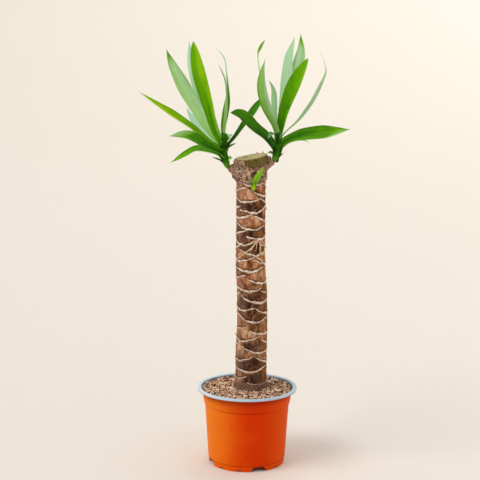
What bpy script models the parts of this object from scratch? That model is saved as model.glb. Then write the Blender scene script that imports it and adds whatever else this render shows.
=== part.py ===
"""A potted yucca: a sawn cane with two leafy shoots and a young sprout, in a plastic nursery pot.

Metres, +Z up, with the origin at the centre of the pot's foot. -Y is the plant's front, +X its right.
Sizes are written in millimetres and turned into metres where the meshes are made.
"""

import math
import random
from typing import NamedTuple

import bpy
from mathutils import Vector, noise

MM = 0.001
CONTACT_GAP = 0.3
UP = Vector((0, 0, 1))
FRONT = -90.0

# Pot: an injection moulded nursery pot with a rolled lip and a notched foot.
POT_HEIGHT = 132.0
POT_LIP_RADIUS = 85.0
POT_LIP_DEPTH = 4.6
POT_COLLAR_TOP_RADIUS = 76.9
POT_COLLAR_FOOT_RADIUS = 73.2
POT_STEP_HEIGHT = 104.0
POT_BODY_TOP_RADIUS = 71.6
POT_BODY_FOOT_RADIUS = 65.8
POT_GROOVE_HEIGHT = 9.4
POT_FOOT_RADIUS = 64.4
POT_WALL = 1.3
POT_FOOT_WALL = 2.0
POT_FLOOR = 10.2
POT_COLUMNS = 56
FOOT_NOTCHES = 12
FOOT_NOTCH_TURN = 19.0
WIDE_NOTCH = (14.3, 7.2, 7.6)
SMALL_NOTCH = (4.4, 2.4, 2.7)
DRAIN_HOLES = 8
DRAIN_RADIUS = 4.0
DRAIN_CIRCLE = 46.0

# Soil, filled to just under the lip, with a plain hole for the cane.
SOIL_EDGE_HEIGHT = 129.0
SOIL_MOUND = 0.8
SOIL_BUMP = 1.2
SOIL_COLUMNS = 36
SOIL_RINGS = 6

# Cane: a yucca stem sawn to length, covered in the scars of shed leaves.
CANE_FOOT_X = 6.5
CANE_FOOT_HEIGHT = 60.0
CANE_BARE_HEIGHT = 130.5
CANE_ROOT_RADIUS = 26.2
CANE_PROFILE = (
    (CANE_BARE_HEIGHT, CANE_FOOT_X, CANE_ROOT_RADIUS), (190, 6.6, 26.2), (240, 8.0, 25.3), (290, 7.4, 25.0),
    (345, 4.4, 24.5), (400, 4.3, 24.0), (482, 4.1, 24.2), (490, 2.2, 27.4), (502, 2.0, 27.8), (515, 3.4, 26.8),
)
CANE_COLUMNS = 36
CANE_ROWS = 77
SCAR_HEIGHT = 335.0
SCAR_TURN = -3.0
SCAR_DIVERGENCE = 360.0 * 5 / 13
SCAR_STEP_LOW = 6.65
SCAR_STEP_HIGH = 5.55
SCAR_RISE = 13.5
SCAR_REACH = 74.0
LIP_PROUD = 1.5
LIP_HALF_WIDTH = 2.3
SCAR_SLOPE = 0.5
SCAR_SLOPE_LENGTH = 9.0

# Wax seal on the sawn end, with its lower edge raised over the two shoots.
SEAL_X = 4.4
CUT_HEIGHT = 526.5
CUT_RISE_X = 0.18
CUT_RISE_Y = 0.042
SEAL_RADIUS = 27.0
SEAL_WALL = 1.3
SEAL_ROUNDING = 1.2
SEAL_HEM = 511.0
SEAL_HEM_LEFT = 515.6
SEAL_HEM_RIGHT = 521.0
SEAL_COLUMNS = 36

# Leaf blades.
BLADE_THICKNESS = 1.3
BLADE_TIP_WIDTH = 1.3
CHANNEL = 0.16
CHANNEL_AT_NECK = 0.30
NECK_END = 0.3


class Bud(NamedTuple):
    """A woody knob on the cane that a shoot grows from: its buried start, its end and the radius at each."""

    start: tuple
    end: tuple
    radii: tuple


class Leaf(NamedTuple):
    """A blade: the height where it leaves its stem, the points it passes, its width, where its upper side
    faces at the root and at the tip, its neck's share of the width, and where it is widest."""

    root: float
    path: tuple
    width: float
    faces: tuple
    tip_faces: tuple = None
    neck: float = 0.40
    widest: float = 0.56


LEFT_BUD = Bud((-10, 0, 494), (-34.5, 0, 512), (11.5, 7.0))
RIGHT_BUD = Bud((18, 0, 500), (42, 0, 519), (8.5, 5.6))
SPROUT_BUD = Bud((6.6, -20, 470), (7.5, -30, 475), (4.4, 3.2))

LEFT_STEM = ((-37.5, 0, 516), (-39.5, 0, 524), (-41, 0, 538), (-42, 0, 554), (-43, 0, 566))
LEFT_STEM_RADII = (6.0, 5.8, 5.6, 5.0, 2.8)
LEFT_LEAVES = (
    Leaf(541, ((-60, -8, 548), (-97, -25, 578.5), (-143, -45, 611), (-179, -58, 637)), 16, (0.3, -0.66, 0.7),
         neck=0.4, widest=0.56),
    Leaf(544, ((-59, 12, 556), (-82, 28, 590), (-106.5, 35, 630), (-127, 28, 671), (-138, 15, 702)), 25,
         (0.3, 0.9, 0.2), neck=0.46, widest=0.6),
    Leaf(548, ((-54, 15, 564), (-71, 40, 606), (-88, 66, 650), (-96.5, 86, 686), (-99, 98, 714)), 23,
         (0.2, 0.95, 0.1)),
    Leaf(541, ((-57, 0, 568), (-69, 2, 611), (-81, 8, 651), (-89, 18, 684), (-94, 30, 715)), 22.5,
         (0.15, -1, 0.1), neck=0.42, widest=0.64),
    Leaf(536, ((-60, 14, 549), (-81, 32, 567), (-97.5, 50, 585), (-107, 60, 603)), 20, (0.3, 0.85, 0.35)),
    Leaf(528, ((-57, -14, 539), (-75, -32, 549), (-90, -48, 559.5), (-107, -62, 566), (-129, -79, 566.5)), 28,
         (0.15, -0.7, 0.7), widest=0.48),
    Leaf(524, ((-61, 10, 532), (-86, 28, 535), (-107, 42, 524.5), (-135, 55, 507.5)), 16, (0.1, -0.72, 0.68)),
    Leaf(548, ((-44, 10, 572), (-41, 25, 596), (-37.5, 40, 623), (-39, 58, 658), (-43, 70, 685), (-57, 80, 703)),
         14, (0.42, -0.9, 0.1), (1, 0.25, 0.1), widest=0.33),
    Leaf(550, ((-40, -4, 572), (-37, -14, 598), (-36, -22, 622), (-38.5, -32, 654), (-51, -40, 682)), 12,
         (-0.7, -0.7, 0.1), (-0.95, 0.2, 0.3), widest=0.4),
    Leaf(539, ((-27, 10, 552), (-13, 24, 570), (3.5, 42, 591), (19, 58, 612), (31, 66, 622)), 19,
         (-0.55, -0.55, 0.6), widest=0.7),
    Leaf(536, ((-33, -4, 542), (-21, -8, 549)), 6, (-0.3, -0.5, 0.8)),
    Leaf(542, ((-39, -18, 553), (-35, -44, 563), (-32, -70, 569), (-30.5, -92, 563)), 14, (0.1, 0.35, 1)),
    Leaf(517, ((-33, -4, 523), (-27, -9, 524)), 8, (-0.5, -0.6, 0.5)),
    Leaf(518, ((-48, -2, 520), (-61, -5, 525)), 5, (0.3, -0.4, 0.9)),
)

RIGHT_STEM = ((44.5, 0, 522.5), (46.3, 0, 531), (47.5, 0, 544), (49, 0, 560), (50, 0, 574))
RIGHT_STEM_RADII = (6.4, 6.8, 7.0, 5.4, 3.0)
RIGHT_LEAVES = (
    Leaf(532, ((37, -12, 549), (25.5, -26, 563), (6, -44, 579), (-8, -58, 597), (-18, -68, 609), (-30, -80, 605)),
         23, (0.2, -0.82, 0.55), (-0.3, -0.75, 0.6), neck=0.72, widest=0.62),
    Leaf(558, ((39, -16, 585), (25.5, -30, 615), (19, -42, 644.5), (20.5, -50, 669), (26, -56, 691)), 18.5,
         (0.4, 0.9, 0.05), neck=0.5, widest=0.5),
    Leaf(552, ((40, 12, 573), (28, 26, 610), (19.5, 38, 649), (13.5, 48, 692), (18, 50, 706), (26.5, 52, 718)), 10,
         (0.98, -0.15, 0.1), (0.5, -0.85, 0.1)),
    Leaf(562, ((43.5, 3, 583), (41, 2, 611), (39.5, -4, 637), (31.5, -12, 655)), 11.5, (0.5, 0.8, 0.2)),
    Leaf(556, ((50.5, 14, 576), (56, 34, 612), (61, 54, 651), (65, 70, 687), (77, 84, 722)), 22,
         (0.5, 0.85, 0.1), widest=0.6),
    Leaf(558, ((55, 16, 582), (66, 40, 619), (79.5, 64, 657), (88.5, 84, 696), (87.5, 98, 727)), 24,
         (-0.35, 0.92, 0.1), widest=0.62),
    Leaf(552, ((51.5, -3, 566), (56.5, -8, 597), (67, -13, 629.5), (82, -16, 664), (96, -14, 690)), 23.5,
         (-0.35, -0.9, 0.2), neck=0.46, widest=0.62),
    Leaf(546, ((61, 8, 566), (85, 22, 587), (110, 40, 619), (129, 58, 659), (128, 64, 678), (120.5, 68, 698)), 16,
         (-0.7, 0.6, 0.4), (-0.95, 0.1, -0.1)),
    Leaf(535, ((60, 4, 551), (86, 18, 559), (118, 34, 562), (147, 48, 565), (173, 57, 567.5)), 27,
         (0, -0.8, 0.6)),
    Leaf(530, ((63, 16, 547), (85, 36, 551), (104, 52, 544)), 14, (0, -0.35, 0.9)),
    Leaf(522, ((51, -4, 527), (58, -6, 533)), 5, (-0.2, -0.5, 0.8)),
    Leaf(550, ((46, -20, 561), (41, -46, 569.5), (35, -70, 570), (28, -93, 565)), 14, (0.1, 0.35, 1)),
    Leaf(528, ((38, -4, 533), (31, -7, 533)), 6, (0.3, -0.6, 0.7)),
)

SPROUT_STEM = ((8, -34, 478), (9, -34.6, 482), (9.8, -35, 486))
SPROUT_STEM_RADII = (3.0, 2.8, 1.8)
SPROUT_LEAVES = (
    Leaf(480, ((12, -38, 490), (18, -42, 501), (25, -45, 515)), 11, (-0.3, -0.9, 0.4)),
    Leaf(480, ((4, -37, 487), (-2, -40, 496)), 4.5, (0.5, -0.6, 0.6)),
    Leaf(482, ((13, -35, 492), (19, -35, 503)), 7, (-0.4, -0.7, 0.5)),
)


def clear_scene():
    """Removes whatever the scene holds."""
    for obj in list(bpy.data.objects):
        bpy.data.objects.remove(obj)


def plain_material(name, colour, roughness):
    """A Principled material with one colour."""
    material = bpy.data.materials.new(name)
    material.use_nodes = True
    shader = material.node_tree.nodes["Principled BSDF"]
    shader.inputs["Base Color"].default_value = (*colour, 1)
    shader.inputs["Roughness"].default_value = roughness
    shader.inputs["Metallic"].default_value = 0
    return material


def mesh_object(name, points, faces, material, collection=None):
    """An object from points in millimetres."""
    mesh = bpy.data.meshes.new(name)
    mesh.from_pydata([Vector(p) * MM for p in points], [], faces)
    mesh.materials.append(material)
    mesh.shade_smooth()
    mesh.set_sharp_from_angle(angle=math.radians(35))
    obj = bpy.data.objects.new(name, mesh)
    (collection or bpy.context.scene.collection).objects.link(obj)
    return obj


def closed_rings(name, rings, first_pole, last_pole, material, collection=None):
    """A closed body through rings of points that turn anticlockwise about the way from the first pole to
    the last."""
    columns = len(rings[0])
    points = [p for ring in rings for p in ring] + [first_pole, last_pole]
    faces = []
    for row in range(len(rings) - 1):
        for column in range(columns):
            after = (column + 1) % columns
            low, high = row * columns, (row + 1) * columns
            faces.append((low + column, low + after, high + after, high + column))
    start, end = len(points) - 2, len(points) - 1
    last = (len(rings) - 1) * columns
    for column in range(columns):
        after = (column + 1) % columns
        faces.append((start, after, column))
        faces.append((end, last + column, last + after))
    return mesh_object(name, points, faces, material, collection)


def circle(centre_x, radius, height, columns):
    """A level ring of points about the line x = centre_x, y = 0."""
    turns = [math.tau * column / columns for column in range(columns)]
    return [(centre_x + radius * math.cos(t), radius * math.sin(t), height) for t in turns]


def tube(name, path, radii, sides, material, collection=None):
    """A closed tube whose rings lie across the path."""
    points = [Vector(p) for p in path]
    rings = []
    across = Vector((0, 1, 0))
    for index, (point, radius) in enumerate(zip(points, radii)):
        along = (points[min(index + 1, len(points) - 1)] - points[max(index - 1, 0)]).normalized()
        across = (across - along * across.dot(along)).normalized()
        other = along.cross(across)
        turns = [math.tau * side / sides for side in range(sides)]
        rings.append([point + (across * math.cos(t) + other * math.sin(t)) * radius for t in turns])
    return closed_rings(name, rings, points[0], points[-1], material, collection)


def apply_boolean(target, operation, others, solver="EXACT"):
    """Joins or cuts the target with every object of the collection, then removes the collection's objects."""
    modifier = target.modifiers.new("join", "BOOLEAN")
    modifier.operation = operation
    modifier.operand_type = "COLLECTION"
    modifier.collection = others
    modifier.solver = solver
    graph = bpy.context.evaluated_depsgraph_get()
    joined = bpy.data.meshes.new_from_object(target.evaluated_get(graph))
    target.modifiers.clear()
    target.data = joined
    joined.name = target.name
    joined.shade_smooth()
    joined.set_sharp_from_angle(angle=math.radians(35))
    for obj in list(others.objects):
        bpy.data.objects.remove(obj)
    bpy.data.collections.remove(others)


def helper_collection(name):
    """A collection in the scene for shapes that a Boolean takes in."""
    collection = bpy.data.collections.new(name)
    bpy.context.scene.collection.children.link(collection)
    return collection


def pot_profile():
    """The pot's section as (radius, height), from the middle of its underside, round the lip, to the
    middle of its floor inside."""
    under_lip = POT_HEIGHT - POT_LIP_DEPTH
    floor_under = POT_FLOOR - POT_WALL
    foot_inside = POT_FOOT_RADIUS - POT_FOOT_WALL
    return (
        (30, floor_under), (foot_inside, floor_under), (foot_inside, 0), (POT_FOOT_RADIUS - 0.4, 0),
        (POT_FOOT_RADIUS, 0.6), (POT_FOOT_RADIUS + 0.5, POT_GROOVE_HEIGHT - 1),
        (POT_FOOT_RADIUS + 0.4, POT_GROOVE_HEIGHT), (POT_BODY_FOOT_RADIUS - 0.3, POT_GROOVE_HEIGHT + 1.2),
        (POT_BODY_FOOT_RADIUS, POT_GROOVE_HEIGHT + 3), (POT_BODY_TOP_RADIUS, POT_STEP_HEIGHT - 1.2),
        (POT_COLLAR_FOOT_RADIUS - 0.3, POT_STEP_HEIGHT), (POT_COLLAR_FOOT_RADIUS, POT_STEP_HEIGHT + 1.5),
        (POT_COLLAR_TOP_RADIUS, under_lip - 0.8), (POT_COLLAR_TOP_RADIUS + 0.8, under_lip),
        (POT_LIP_RADIUS - 1.2, under_lip), (POT_LIP_RADIUS - 0.2, under_lip + 0.9),
        (POT_LIP_RADIUS, POT_HEIGHT - 1.8), (POT_LIP_RADIUS - 1.0, POT_HEIGHT - 0.4),
        (POT_LIP_RADIUS - 2.6, POT_HEIGHT), (POT_COLLAR_TOP_RADIUS + 1.4, POT_HEIGHT),
        (POT_COLLAR_TOP_RADIUS - 0.2, POT_HEIGHT - 1.4), (POT_COLLAR_TOP_RADIUS - POT_WALL, under_lip - 1.6),
        (POT_COLLAR_FOOT_RADIUS - POT_WALL, POT_STEP_HEIGHT + 1.2),
        (POT_BODY_TOP_RADIUS - POT_WALL, POT_STEP_HEIGHT - 2),
        (POT_BODY_FOOT_RADIUS - POT_WALL, POT_FLOOR + 2.2), (POT_BODY_FOOT_RADIUS - POT_WALL - 1.6, POT_FLOOR),
        (30, POT_FLOOR),
    )


def notch_cutter(turn, size, cutters, material):
    """A radial wedge that cuts one notch, open at the bottom, out of the foot's wall."""
    half_open, half_top, height = size
    inner, outer = POT_FOOT_RADIUS - POT_FOOT_WALL - 2, POT_FOOT_RADIUS + 2
    section = ((-half_open, -1), (half_open, -1), (half_open, 0), (half_top, height), (-half_top, height),
               (-half_open, 0))
    points = []
    for radius in (inner, outer):
        for offset, level in section:
            angle = math.radians(turn + offset)
            points.append((radius * math.cos(angle), radius * math.sin(angle), level))
    count = len(section)
    faces = [tuple(range(count - 1, -1, -1)), tuple(range(count, 2 * count))]
    for index in range(count):
        after = (index + 1) % count
        faces.append((index, after, after + count, index + count))
    mesh_object(f"notch_cutter_{turn:.0f}", points, faces, material, cutters)


def build_pot(material):
    """The pot, with its notched foot and drain holes."""
    profile = pot_profile()
    rings = [circle(0, radius, height, POT_COLUMNS) for radius, height in profile]
    pot = closed_rings("pot", rings, (0, 0, profile[0][1]), (0, 0, profile[-1][1]), material)
    cutters = helper_collection("pot_cutters")
    for index in range(FOOT_NOTCHES):
        size = SMALL_NOTCH if index % 3 else WIDE_NOTCH
        notch_cutter(FRONT + FOOT_NOTCH_TURN + index * 360 / FOOT_NOTCHES, size, cutters, material)
    for index in range(DRAIN_HOLES):
        angle = math.tau * (index + 0.5) / DRAIN_HOLES
        x, y = DRAIN_CIRCLE * math.cos(angle), DRAIN_CIRCLE * math.sin(angle)
        tube(f"drain_cutter_{index}", ((x, y, POT_FLOOR - POT_WALL - 2), (x, y, POT_FLOOR + 2)),
             (DRAIN_RADIUS, DRAIN_RADIUS), 12, material, cutters)
    apply_boolean(pot, "DIFFERENCE", cutters)
    return pot


def soil_height(x, y):
    """The soil's surface, a little mounded about the cane."""
    from_cane = math.hypot(x - CANE_FOOT_X, y)
    mound = SOIL_MOUND * max(0.0, 1 - (from_cane - CANE_ROOT_RADIUS) / 45)
    bump = SOIL_BUMP * noise.noise(Vector((x / 9, y / 9, 4.0)))
    return SOIL_EDGE_HEIGHT + mound + bump


def build_soil(material):
    """The soil that fills the pot up to the cane, and closes under it."""
    hole = CANE_ROOT_RADIUS + CONTACT_GAP
    hole_floor = CANE_FOOT_HEIGHT - CONTACT_GAP
    collar_slope = (POT_COLLAR_TOP_RADIUS - POT_COLLAR_FOOT_RADIUS) / (POT_HEIGHT - POT_LIP_DEPTH - POT_STEP_HEIGHT)
    edge = POT_COLLAR_FOOT_RADIUS + collar_slope * (SOIL_EDGE_HEIGHT - POT_STEP_HEIGHT) - POT_WALL - 1.2
    rings = [
        circle(0, POT_BODY_FOOT_RADIUS - POT_WALL - 3, POT_FLOOR + CONTACT_GAP, SOIL_COLUMNS),
        circle(0, POT_BODY_FOOT_RADIUS - POT_WALL - 0.6, POT_FLOOR + 2.6, SOIL_COLUMNS),
        circle(0, POT_BODY_TOP_RADIUS - POT_WALL - 0.6, POT_STEP_HEIGHT - 2.5, SOIL_COLUMNS),
        circle(0, POT_COLLAR_FOOT_RADIUS - POT_WALL - 0.6, POT_STEP_HEIGHT + 1, SOIL_COLUMNS),
    ]
    for step in range(SOIL_RINGS):
        share = step / (SOIL_RINGS - 1)
        level = circle(CANE_FOOT_X * share, edge + (hole - edge) * share, 0, SOIL_COLUMNS)
        rings.append([(x, y, soil_height(x, y)) for x, y, _ in level])
    rings.append(circle(CANE_FOOT_X, hole, hole_floor, SOIL_COLUMNS))
    return closed_rings("soil", rings, (0, 0, POT_FLOOR + CONTACT_GAP), (CANE_FOOT_X, 0, hole_floor), material)


def smooth(share):
    """A smooth step from 0 to 1."""
    share = min(max(share, 0.0), 1.0)
    return share * share * (3 - 2 * share)


def cane_profile(height):
    """Where the cane's middle stands at this height, and its radius under the relief."""
    for low, high in zip(CANE_PROFILE, CANE_PROFILE[1:]):
        if height <= high[0]:
            break
    share = smooth((height - low[0]) / (high[0] - low[0]))
    return low[1] + (high[1] - low[1]) * share, low[2] + (high[2] - low[2]) * share


def cane_scars():
    """(turn in degrees from the front, height) of each leaf scar, from the head down, spiralling."""
    draw = random.Random(11)
    scars = []
    for index in range(-30, 34):
        step = SCAR_STEP_LOW if index > 0 else SCAR_STEP_HIGH
        turn = SCAR_TURN + SCAR_DIVERGENCE * index + draw.uniform(-5, 5)
        scars.append((turn, SCAR_HEIGHT - step * index + draw.uniform(-1.2, 1.2)))
    return scars


def scar_relief(turn, height, scars):
    """How far the bark stands out: a lip along each scar's lower edge, and a slope that fades above it."""
    lip = slope = 0.0
    for scar_turn, scar_height in scars:
        across = (turn - scar_turn + 180) % 360 - 180
        above = height - scar_height - SCAR_RISE * (1 - math.cos(math.radians(across)))
        if abs(above) > 3 * SCAR_SLOPE_LENGTH:
            continue
        fade = math.exp(-((across / SCAR_REACH) ** 4))
        lip = max(lip, fade * math.exp(-((above / LIP_HALF_WIDTH) ** 2)))
        if above > 0:
            slope = max(slope, fade * math.exp(-above / SCAR_SLOPE_LENGTH))
    return LIP_PROUD * lip + SCAR_SLOPE * slope


def seal_hem(turn):
    """Height of the wax seal's lower edge, which runs higher over the two shoots."""
    from_left = abs((turn + 90 + 180) % 360 - 180)
    from_right = abs((turn - 90 + 180) % 360 - 180)
    left = (SEAL_HEM_LEFT - SEAL_HEM) * (1 - smooth((from_left - 48) / 22))
    right = (SEAL_HEM_RIGHT - SEAL_HEM) * math.exp(-((from_right / 30) ** 2))
    return SEAL_HEM + left + right


def cut_height(x, y):
    """The top of the wax seal, which follows the slanting saw cut."""
    return CUT_HEIGHT + CUT_RISE_X * (x - SEAL_X) + CUT_RISE_Y * y


def around(axis_x, turn, radius, height):
    """A point at this turn from the front, distance from the axis and height."""
    angle = math.radians(turn + FRONT)
    return (axis_x + radius * math.cos(angle), radius * math.sin(angle), height)


def cut_ring(turns, radius, below):
    """A ring at this distance below the wax seal's slanting top."""
    level = [around(SEAL_X, turn, radius, 0) for turn in turns]
    return [(x, y, cut_height(x, y) - below) for x, y, _ in level]


def build_cane(material):
    """The cane with its scars, its seat under the wax, and the buds that carry the shoots."""
    scars = cane_scars()
    turns = [360 * column / CANE_COLUMNS for column in range(CANE_COLUMNS)]
    rings = [[around(CANE_FOOT_X, t, CANE_ROOT_RADIUS, CANE_FOOT_HEIGHT) for t in turns]]
    for row in range(CANE_ROWS + 1):
        share = row / CANE_ROWS
        ring = []
        for turn in turns:
            top = seal_hem(turn) - 1.2
            height = CANE_BARE_HEIGHT + (top - CANE_BARE_HEIGHT) * share
            shown = smooth(share * 30) * smooth((1 - share) * 30)
            axis_x, radius = cane_profile(height)
            ring.append(around(axis_x, turn, radius + shown * scar_relief(turn, height, scars), height))
        rings.append(ring)
    seat = SEAL_RADIUS - SEAL_WALL - CONTACT_GAP
    under_seal = SEAL_WALL + CONTACT_GAP
    rings.append([around(SEAL_X, turn, seat, seal_hem(turn) - 0.8) for turn in turns])
    rings.append(cut_ring(turns, seat, under_seal + 0.6))
    rings.append(cut_ring(turns, seat - 0.8, under_seal))
    top = (SEAL_X, 0, CUT_HEIGHT - under_seal)
    cane = closed_rings("cane", rings, (CANE_FOOT_X, 0, CANE_FOOT_HEIGHT), top, material)
    buds = helper_collection("buds")
    for name, bud in (("left", LEFT_BUD), ("right", RIGHT_BUD), ("sprout", SPROUT_BUD)):
        start, end = Vector(bud.start), Vector(bud.end)
        middle = start.lerp(end, 0.55)
        thick, thin = bud.radii
        tube(f"bud_{name}", (start, middle, end), (thick, (thick + thin) / 2 + 0.4, thin), 12, material, buds)
    apply_boolean(cane, "UNION", buds)
    return cane


def build_seal(material):
    """The wax seal: a shallow cup turned over the sawn end."""
    turns = [360 * column / SEAL_COLUMNS for column in range(SEAL_COLUMNS)]
    inner = SEAL_RADIUS - SEAL_WALL
    rings = [
        cut_ring(turns, inner - 0.8, SEAL_WALL),
        cut_ring(turns, inner, SEAL_WALL + 0.6),
        [around(SEAL_X, turn, inner, seal_hem(turn)) for turn in turns],
        [around(SEAL_X, turn, SEAL_RADIUS - 0.3, seal_hem(turn)) for turn in turns],
        [around(SEAL_X, turn, SEAL_RADIUS, seal_hem(turn) + 0.5) for turn in turns],
        cut_ring(turns, SEAL_RADIUS, SEAL_ROUNDING),
        cut_ring(turns, SEAL_RADIUS - 0.35, 0.35),
        cut_ring(turns, SEAL_RADIUS - SEAL_ROUNDING, 0),
    ]
    return closed_rings("wax_seal", rings, (SEAL_X, 0, CUT_HEIGHT - SEAL_WALL), (SEAL_X, 0, CUT_HEIGHT), material)


def smooth_path(points, count):
    """Evenly spaced points along a smooth curve through the given ones."""
    knots = [Vector(p) for p in points]
    knots = [2 * knots[0] - knots[1], *knots, 2 * knots[-1] - knots[-2]]
    dense = []
    for index in range(1, len(knots) - 2):
        before, start, end, after = knots[index - 1:index + 3]
        for step in range(12):
            t = step / 12
            dense.append(0.5 * (2 * start + (end - before) * t
                                + (2 * before - 5 * start + 4 * end - after) * t ** 2
                                + (3 * start - before - 3 * end + after) * t ** 3))
    dense.append(knots[-2])
    lengths = [0.0]
    for first, second in zip(dense, dense[1:]):
        lengths.append(lengths[-1] + (second - first).length)
    path, segment = [], 0
    for index in range(count + 1):
        wanted = lengths[-1] * index / count
        while segment < len(dense) - 2 and lengths[segment + 1] < wanted:
            segment += 1
        share = (wanted - lengths[segment]) / (lengths[segment + 1] - lengths[segment])
        path.append(dense[segment].lerp(dense[segment + 1], min(share, 1.0)))
    return path


def blade_width(leaf, share):
    """A blade's width at a share of its length: a neck, a broad middle and a point."""
    if share < leaf.widest:
        return leaf.width * (leaf.neck + (1 - leaf.neck) * smooth(share / leaf.widest))
    return max(leaf.width * (1 - ((share - leaf.widest) / (1 - leaf.widest)) ** 2.1), BLADE_TIP_WIDTH)


def build_blade(name, root, leaf, material, collection):
    """A channelled blade of even thickness, split into triangles alike on both faces."""
    reach = (Vector(leaf.path[-1]) - root).length
    stations = 10 if reach > 120 else 8 if reach > 50 else 5
    strips = 4 if leaf.width > 12 else 2
    path = smooth_path((root, *leaf.path), stations)
    faces_root = Vector(leaf.faces)
    faces_tip = Vector(leaf.tip_faces or leaf.faces)
    upper, lower = [], []
    for index, point in enumerate(path):
        share = index / stations
        along = (path[min(index + 1, stations)] - path[max(index - 1, 0)]).normalized()
        facing = faces_root.lerp(faces_tip, smooth(share))
        normal = (facing - along * facing.dot(along)).normalized()
        across = along.cross(normal)
        half = blade_width(leaf, share) / 2
        channel = CHANNEL + (CHANNEL_AT_NECK - CHANNEL) * (1 - smooth(share / NECK_END))
        for strip in range(strips + 1):
            side = 2 * strip / strips - 1
            middle = point + across * side * half + normal * channel * half * 2 * abs(side) ** 1.5
            upper.append(middle + normal * BLADE_THICKNESS / 2)
            lower.append(middle - normal * BLADE_THICKNESS / 2)
    row, under = strips + 1, len(upper)
    triangles = []
    for index in range(stations):
        for strip in range(strips):
            a, b = index * row + strip, index * row + strip + 1
            c, d = a + row, b + row
            triangles += [(a, b, d), (a, d, c), (under + a, under + d, under + b), (under + a, under + c, under + d)]
        for edge, turned in ((index * row, False), (index * row + strips, True)):
            a, c = edge, edge + row
            side = [(a, c, under + c), (a, under + c, under + a)]
            triangles += [face[::-1] for face in side] if turned else side
    for strip in range(strips):
        a = strip
        triangles += [(a, under + a + 1, a + 1), (a, under + a, under + a + 1)]
        a = stations * row + strip
        triangles += [(a, a + 1, under + a + 1), (a, under + a + 1, under + a)]
    mesh_object(name, upper + lower, triangles, material, collection)


def on_stem(stem, height):
    """The stem's middle at this height."""
    for low, high in zip(stem, stem[1:]):
        if height <= high[2]:
            return Vector(low).lerp(Vector(high), (height - low[2]) / (high[2] - low[2]))
    return Vector(stem[-1])


def build_shoot(name, bud, stem, radii, leaves, material):
    """A leafy shoot: its stem stands on the bud's end, and every leaf is fused to it."""
    way = (Vector(bud.end) - Vector(bud.start)).normalized()
    foot = Vector(bud.end) + way * CONTACT_GAP
    path = (foot, foot + way * 1.5, *stem)
    shoot = tube(name, path, (radii[0] - 0.2, radii[0], *radii), 8, material)
    blades = helper_collection(f"{name}_leaves")
    for index, leaf in enumerate(leaves):
        build_blade(f"{name}_leaf_{index}", on_stem(stem, leaf.root), leaf, material, blades)
    apply_boolean(shoot, "UNION", blades, "MANIFOLD")
    return shoot


def main():
    """Builds the plant and its pot."""
    clear_scene()
    leaf_green = plain_material("leaf_green", (0.13, 0.32, 0.03), 0.4)
    build_pot(plain_material("pot_plastic", (0.68, 0.11, 0.015), 0.35))
    build_soil(plain_material("soil", (0.09, 0.05, 0.03), 0.95))
    build_cane(plain_material("bark", (0.17, 0.085, 0.05), 0.85))
    build_seal(plain_material("wax", (0.12, 0.11, 0.045), 0.6))
    build_shoot("left_shoot", LEFT_BUD, LEFT_STEM, LEFT_STEM_RADII, LEFT_LEAVES, leaf_green)
    build_shoot("right_shoot", RIGHT_BUD, RIGHT_STEM, RIGHT_STEM_RADII, RIGHT_LEAVES, leaf_green)
    build_shoot("sprout", SPROUT_BUD, SPROUT_STEM, SPROUT_STEM_RADII, SPROUT_LEAVES, leaf_green)


main()
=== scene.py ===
"""The finished look of a potted yucca: a sawn cane with two leafy shoots and a young sprout in an orange pot.

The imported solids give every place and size, in metres with +Z up. Sizes here are written in millimetres and
turned into metres where the meshes are made. -Y is the plant's front and +X its right, and a turn is in
degrees from the front.
"""

import logging
import math
import random
from dataclasses import dataclass
from enum import Enum
from typing import Sequence

import bpy
import numpy as np
from mathutils import Euler, Matrix, Vector, noise

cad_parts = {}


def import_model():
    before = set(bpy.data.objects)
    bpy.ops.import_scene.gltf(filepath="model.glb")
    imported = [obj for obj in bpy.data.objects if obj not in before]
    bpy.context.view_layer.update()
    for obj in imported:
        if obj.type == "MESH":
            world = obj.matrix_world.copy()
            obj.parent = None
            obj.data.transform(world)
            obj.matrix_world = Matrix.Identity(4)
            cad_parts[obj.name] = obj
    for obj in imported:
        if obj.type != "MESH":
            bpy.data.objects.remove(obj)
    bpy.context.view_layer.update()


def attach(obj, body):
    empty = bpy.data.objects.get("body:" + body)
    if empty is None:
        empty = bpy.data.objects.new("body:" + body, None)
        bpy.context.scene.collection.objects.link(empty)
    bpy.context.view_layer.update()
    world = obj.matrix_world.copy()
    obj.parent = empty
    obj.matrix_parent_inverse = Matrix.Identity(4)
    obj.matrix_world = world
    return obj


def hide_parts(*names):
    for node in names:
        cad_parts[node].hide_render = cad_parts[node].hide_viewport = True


LOG = logging.getLogger("potted_yucca")
MM = 0.001
FRONT = -90.0
EVEN = (1.0, 1.0, 1.0)
SMOOTH_ALL = 180.0

Array = np.ndarray
Material = bpy.types.Material
Piece = bpy.types.Object
Pair = tuple[float, float]
Place = tuple[float, float, float]
Colour = tuple[float, float, float]
Stops = tuple[tuple[float, Colour], ...]
Faces = list[list[int]]


class Wire:
    """A number or a colour that comes out of a node; arithmetic on it adds Math nodes."""

    def __init__(self, bench: "Bench", socket: bpy.types.NodeSocket) -> None:
        """Keeps the socket and the bench it is on."""
        self.bench = bench
        self.socket = socket

    def joined(self, operation: str, first: "Wire | float", second: "Wire | float") -> "Wire":
        """Adds one Math node."""
        return self.bench.node("ShaderNodeMath", {"operation": operation}, {0: first, 1: second})

    def __add__(self, other: "Wire | float") -> "Wire":
        """The sum."""
        return self.joined("ADD", self, other)

    def __mul__(self, other: "Wire | float") -> "Wire":
        """The product."""
        return self.joined("MULTIPLY", self, other)

    def __sub__(self, other: "Wire | float") -> "Wire":
        """The difference."""
        return self.joined("SUBTRACT", self, other)

    def __rsub__(self, other: float) -> "Wire":
        """The difference, from the right."""
        return self.joined("SUBTRACT", other, self)

    __radd__ = __add__
    __rmul__ = __mul__


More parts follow.
